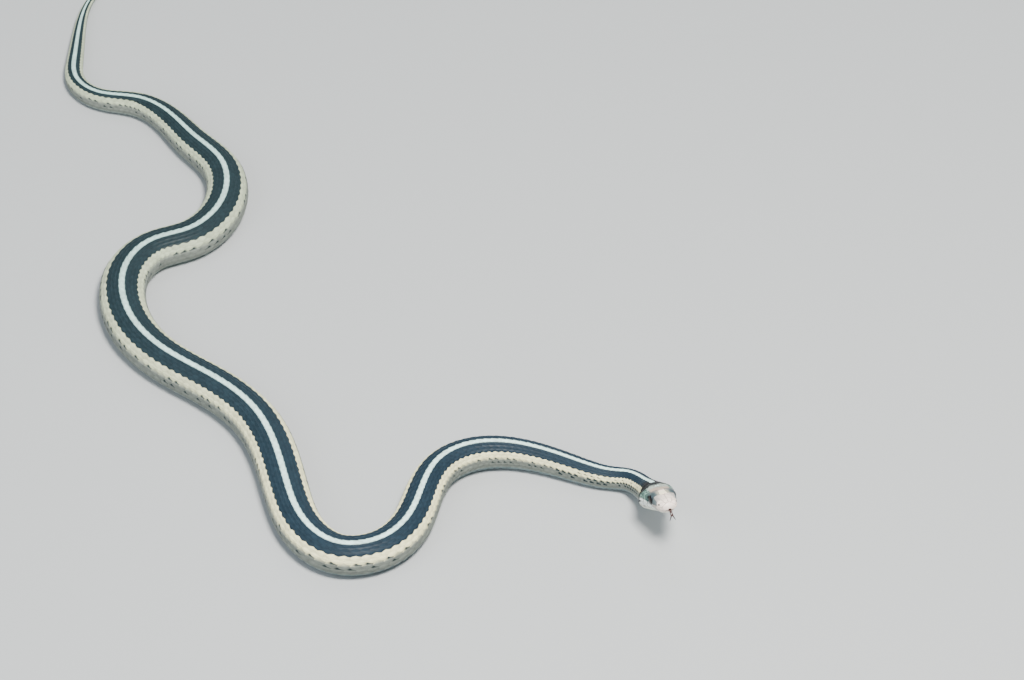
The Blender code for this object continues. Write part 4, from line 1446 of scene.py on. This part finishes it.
def addEye(name, hand):
    bpy.ops.object.select_all(action="DESELECT")
    bpy.ops.mesh.primitive_uv_sphere_add(segments=eyes["segments"], ring_count=eyes["rings"], radius=mm,
                                         rotation=(-hand * math.pi / 2, 0, 0))
    item = bpy.context.object
    item.name = name
    item.scale = (head["eyeRadii"][0], head["eyeRadii"][2], head["eyeRadii"][1])
    bpy.ops.object.transform_apply(location=False, rotation=True, scale=True)
    bpy.ops.object.shade_smooth()
    away = np.array([vertex.co.xz.length for vertex in item.data.vertices]) / mm
    paint(item.data, linear(eyes["colours"])[np.searchsorted(eyes["edges"], away)])
    item.data.materials.append(hides["eyeGloss"])
    placeOnHead(item, eyeCentre * (1, hand, 1))
    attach(item, "root")
    return item


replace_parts(addEye("leftEye", 1), "eye_left")
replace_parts(addEye("rightEye", -1), "eye_right")
print("eyes")

# tongue: a flat stem that bends down over the lip and forks

tongue = {
    "stem": [  # ahead of the snout, above the mouth, half width, half depth
        (-1.6, -0.10, 0.45, 0.28), (-0.5, -0.10, 0.45, 0.28), (0.5, -0.10, 0.45, 0.28),
        (1.35, -0.45, 0.47, 0.28), (1.95, -1.15, 0.52, 0.28), (2.18, -1.80, 0.56, 0.27),
    ],
    "tine": [  # ahead, above, to the side, half width, half depth
        (2.26, -2.35, 0.50, 0.26, 0.24), (2.30, -3.10, 0.86, 0.19, 0.19), (2.36, -3.60, 1.15, 0.13, 0.13),
        (2.40, -3.98, 1.38, 0.06, 0.06),
    ],
    "colour": (52, 22, 16), "tip": (18, 12, 12), "tipFrom": (1.7, 3.0), "fuller": 1.2, "smoothing": 3,
}


def chooseFaces(item, test):
    shape = bmesh.from_edit_mesh(item.data)
    for face in shape.faces:
        face.select_set(bool(test(face.calc_center_median())))
    bmesh.update_edit_mesh(item.data)


def headings(stations):
    run = np.gradient(np.array(stations)[:, :2], axis=0)
    return np.arctan2(run[:, 1], run[:, 0])


def drawOut(places, angles, widths, depths):
    # the chosen end faces are drawn out from station to station, turned and resized
    for i in range(1, len(places)):
        step = Vector(places[i]) - Vector(places[i - 1])
        centre = Vector(places[i])
        bpy.ops.mesh.extrude_region_move(TRANSFORM_OT_translate={"value": step})
        bpy.ops.transform.rotate(value=angles[i] - angles[i - 1], orient_axis="Y", center_override=centre)
        deep = depths[i] / depths[i - 1]
        bpy.ops.transform.resize(value=(deep, widths[i] / widths[i - 1], deep), center_override=centre)


def addTongue():
    stem = tongue["stem"]
    tine = tongue["tine"]
    fuller = tongue["fuller"] * mm
    bpy.ops.object.select_all(action="DESELECT")
    bpy.ops.mesh.primitive_grid_add(x_subdivisions=1, y_subdivisions=2, size=2 * fuller,
                                    rotation=(0, math.pi / 2, 0))
    item = bpy.context.object
    item.name = "forkedTongue"
    item.scale = (stem[0][3], stem[0][2], 1)
    item.location = (stem[0][0] * mm, 0, stem[0][1] * mm)
    bpy.ops.object.transform_apply(location=True, rotation=True, scale=True)
    angles = headings(stem)
    angles[0] = 0.0
    places = [(row[0] * mm, 0.0, row[1] * mm) for row in stem]
    turns = np.concatenate([angles[-1:], headings(tine)])
    bpy.ops.object.mode_set(mode="EDIT")
    bpy.ops.mesh.select_mode(type="FACE")
    bpy.ops.mesh.select_all(action="SELECT")
    drawOut(places, angles, [row[2] for row in stem], [row[3] for row in stem])
    end = np.array(places[-1])
    for hand in (1, -1):
        root = end + (0, hand * stem[-1][2] * mm / 2, 0)
        chooseFaces(item, lambda middle: np.linalg.norm(np.array(middle) - root) < 0.3 * mm)
        path = [root] + [np.array((row[0], hand * row[2], row[1])) * mm for row in tine]
        drawOut(path, turns, [stem[-1][2] / 2] + [row[3] for row in tine],
                [stem[-1][3]] + [row[4] for row in tine])
    bpy.ops.mesh.select_all(action="SELECT")
    bpy.ops.mesh.normals_make_consistent(inside=False)
    bpy.ops.object.mode_set(mode="OBJECT")
    smoothing = item.modifiers.new("smoothing", "SUBSURF")
    smoothing.levels = smoothing.render_levels = tongue["smoothing"]
    bpy.ops.object.modifier_apply(modifier="smoothing")
    bpy.ops.object.shade_smooth()
    low = np.array([vertex.co.z for vertex in item.data.vertices]) / mm
    colour = mix(linear(tongue["colour"]), linear(tongue["tip"]), smooth(*tongue["tipFrom"], -low))
    paint(item.data, colour)
    item.data.materials.append(hides["wetTongue"])
    placeOnHead(item, (0, 0, 0))
    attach(item, "root")
    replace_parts(item, "tongue")
    print("tongue:", len(item.data.polygons), "faces")


addTongue()

# throat: small smooth scales between the lips' plates and the chin shields

gulars = {
    "from": 2.9, "to": 18.8, "pitch": 1.5, "spacing": 1.22,
    "length": 1.36, "width": 1.40,  # of the pitch and the spacing
    "heights": [-0.12, -0.05, 0.01, 0.05, 0.08, 0.09, 0.03], "sink": 0.16, "sinkFrom": (14, 19),
    # how far out the chin shields reach
    "shield": [(2.0, 1.5), (3.55, 1.9), (4.95, 2.35), (6.3, 2.3), (8.8, 2.75), (11.6, 2.75), (11.9, 1.5)],
    "lanes": 8, "lipGap": 0.30, "lipFit": 1.03, "shieldGap": 0.35, "vary": 0.08, "seed": 31,
}
jawNormals = gridNormals(jawPoints, (0, 0, -1))
jawMiddle = skin["jawColumns"] - 1
jawReach = np.linalg.norm(np.diff(jawPoints[:, :jawMiddle + 1], axis=1), axis=2).sum(1)


def jawPlace(behind, across, height):
    # points over the lower jaw from a place behind the snout and a run from the middle, to the left
    row = np.clip(np.interp(behind, jawRows, np.arange(len(jawRows))), 0, len(jawRows) - 1.001)
    column = jawMiddle - across / np.interp(behind, jawRows, jawReach) * jawMiddle
    column = np.clip(column, 0, 2 * jawMiddle - 0.001)
    i, j = row.astype(int), column.astype(int)
    where = (i, j, (row - i)[..., None], (column - j)[..., None])
    point = bilinear(jawPoints, *where) + bilinear(jawNormals, *where) * height[..., None]
    return point, bilinear(jawShares[..., None], *where)[..., 0]


def gularRoots():
    # none under the lips' plates or the chin shields, but some between the rear shields
    roots = []
    innerEdge = list(zip(lowerLip["bounds"], lowerLip["inner"]))
    for behind in np.arange(gulars["from"], gulars["to"], gulars["pitch"]):
        for lane in range(-gulars["lanes"], gulars["lanes"] + 1):
            place = behind + (gulars["pitch"] / 2 if lane % 2 else 0)
            across = lane * gulars["spacing"]
            middle = place + 0.5 * gulars["length"] * gulars["pitch"]
            edge = underPoint(middle, steps(middle - lowerLip["slant"], innerEdge))
            reach = math.hypot(edge[1], edge[2] - underPoint(middle, 0.0)[2])
            if abs(across) + gulars["lipGap"] > gulars["lipFit"] * reach:
                continue
            if middle < 12.3 and abs(across) < steps(middle, gulars["shield"]) + gulars["shieldGap"]:
                if middle < 10.4 or abs(across) > (middle - 8.3) * 0.32 - 0.3:
                    continue
            roots.append((place, across))
    return np.array(roots)


def addGulars():
    roots = gularRoots()
    shape, faces = scaleTemplate()
    draw = np.random.default_rng(gulars["seed"])
    along = shape["along"]
    where = roots[:, :1] + along[None] * gulars["length"] * gulars["pitch"]
    across = roots[:, 1:] + shape["across"][None] * gulars["width"] * gulars["spacing"] / 2
    top = np.interp(along, scales["along"], gulars["heights"]) - 0.05 * shape["place"] ** 2
    top = np.where(shape["height"] == scales["foot"], scales["foot"], top)
    top = top[None] - gulars["sink"] * smooth(*gulars["sinkFrom"], where)
    places, share = jawPlace(where, across, top)
    colour = np.ones(places.shape[:2] + (1,)) * tone["chin"]
    # painted shade: each throat scale is darker at its root, under the scale ahead, and lighter towards its
    # tip
    colour = vary(colour, gulars["vary"], draw) * (0.66 + 0.36 * smooth(0.05, 0.55, along))[None, :, None]
    where = np.column_stack([roots[:, 0] - head["length"], share.mean(1)])
    addCoat("throatScales", where, shape, faces, colour, headPoint(places), -head["length"], 0.0)


addGulars()
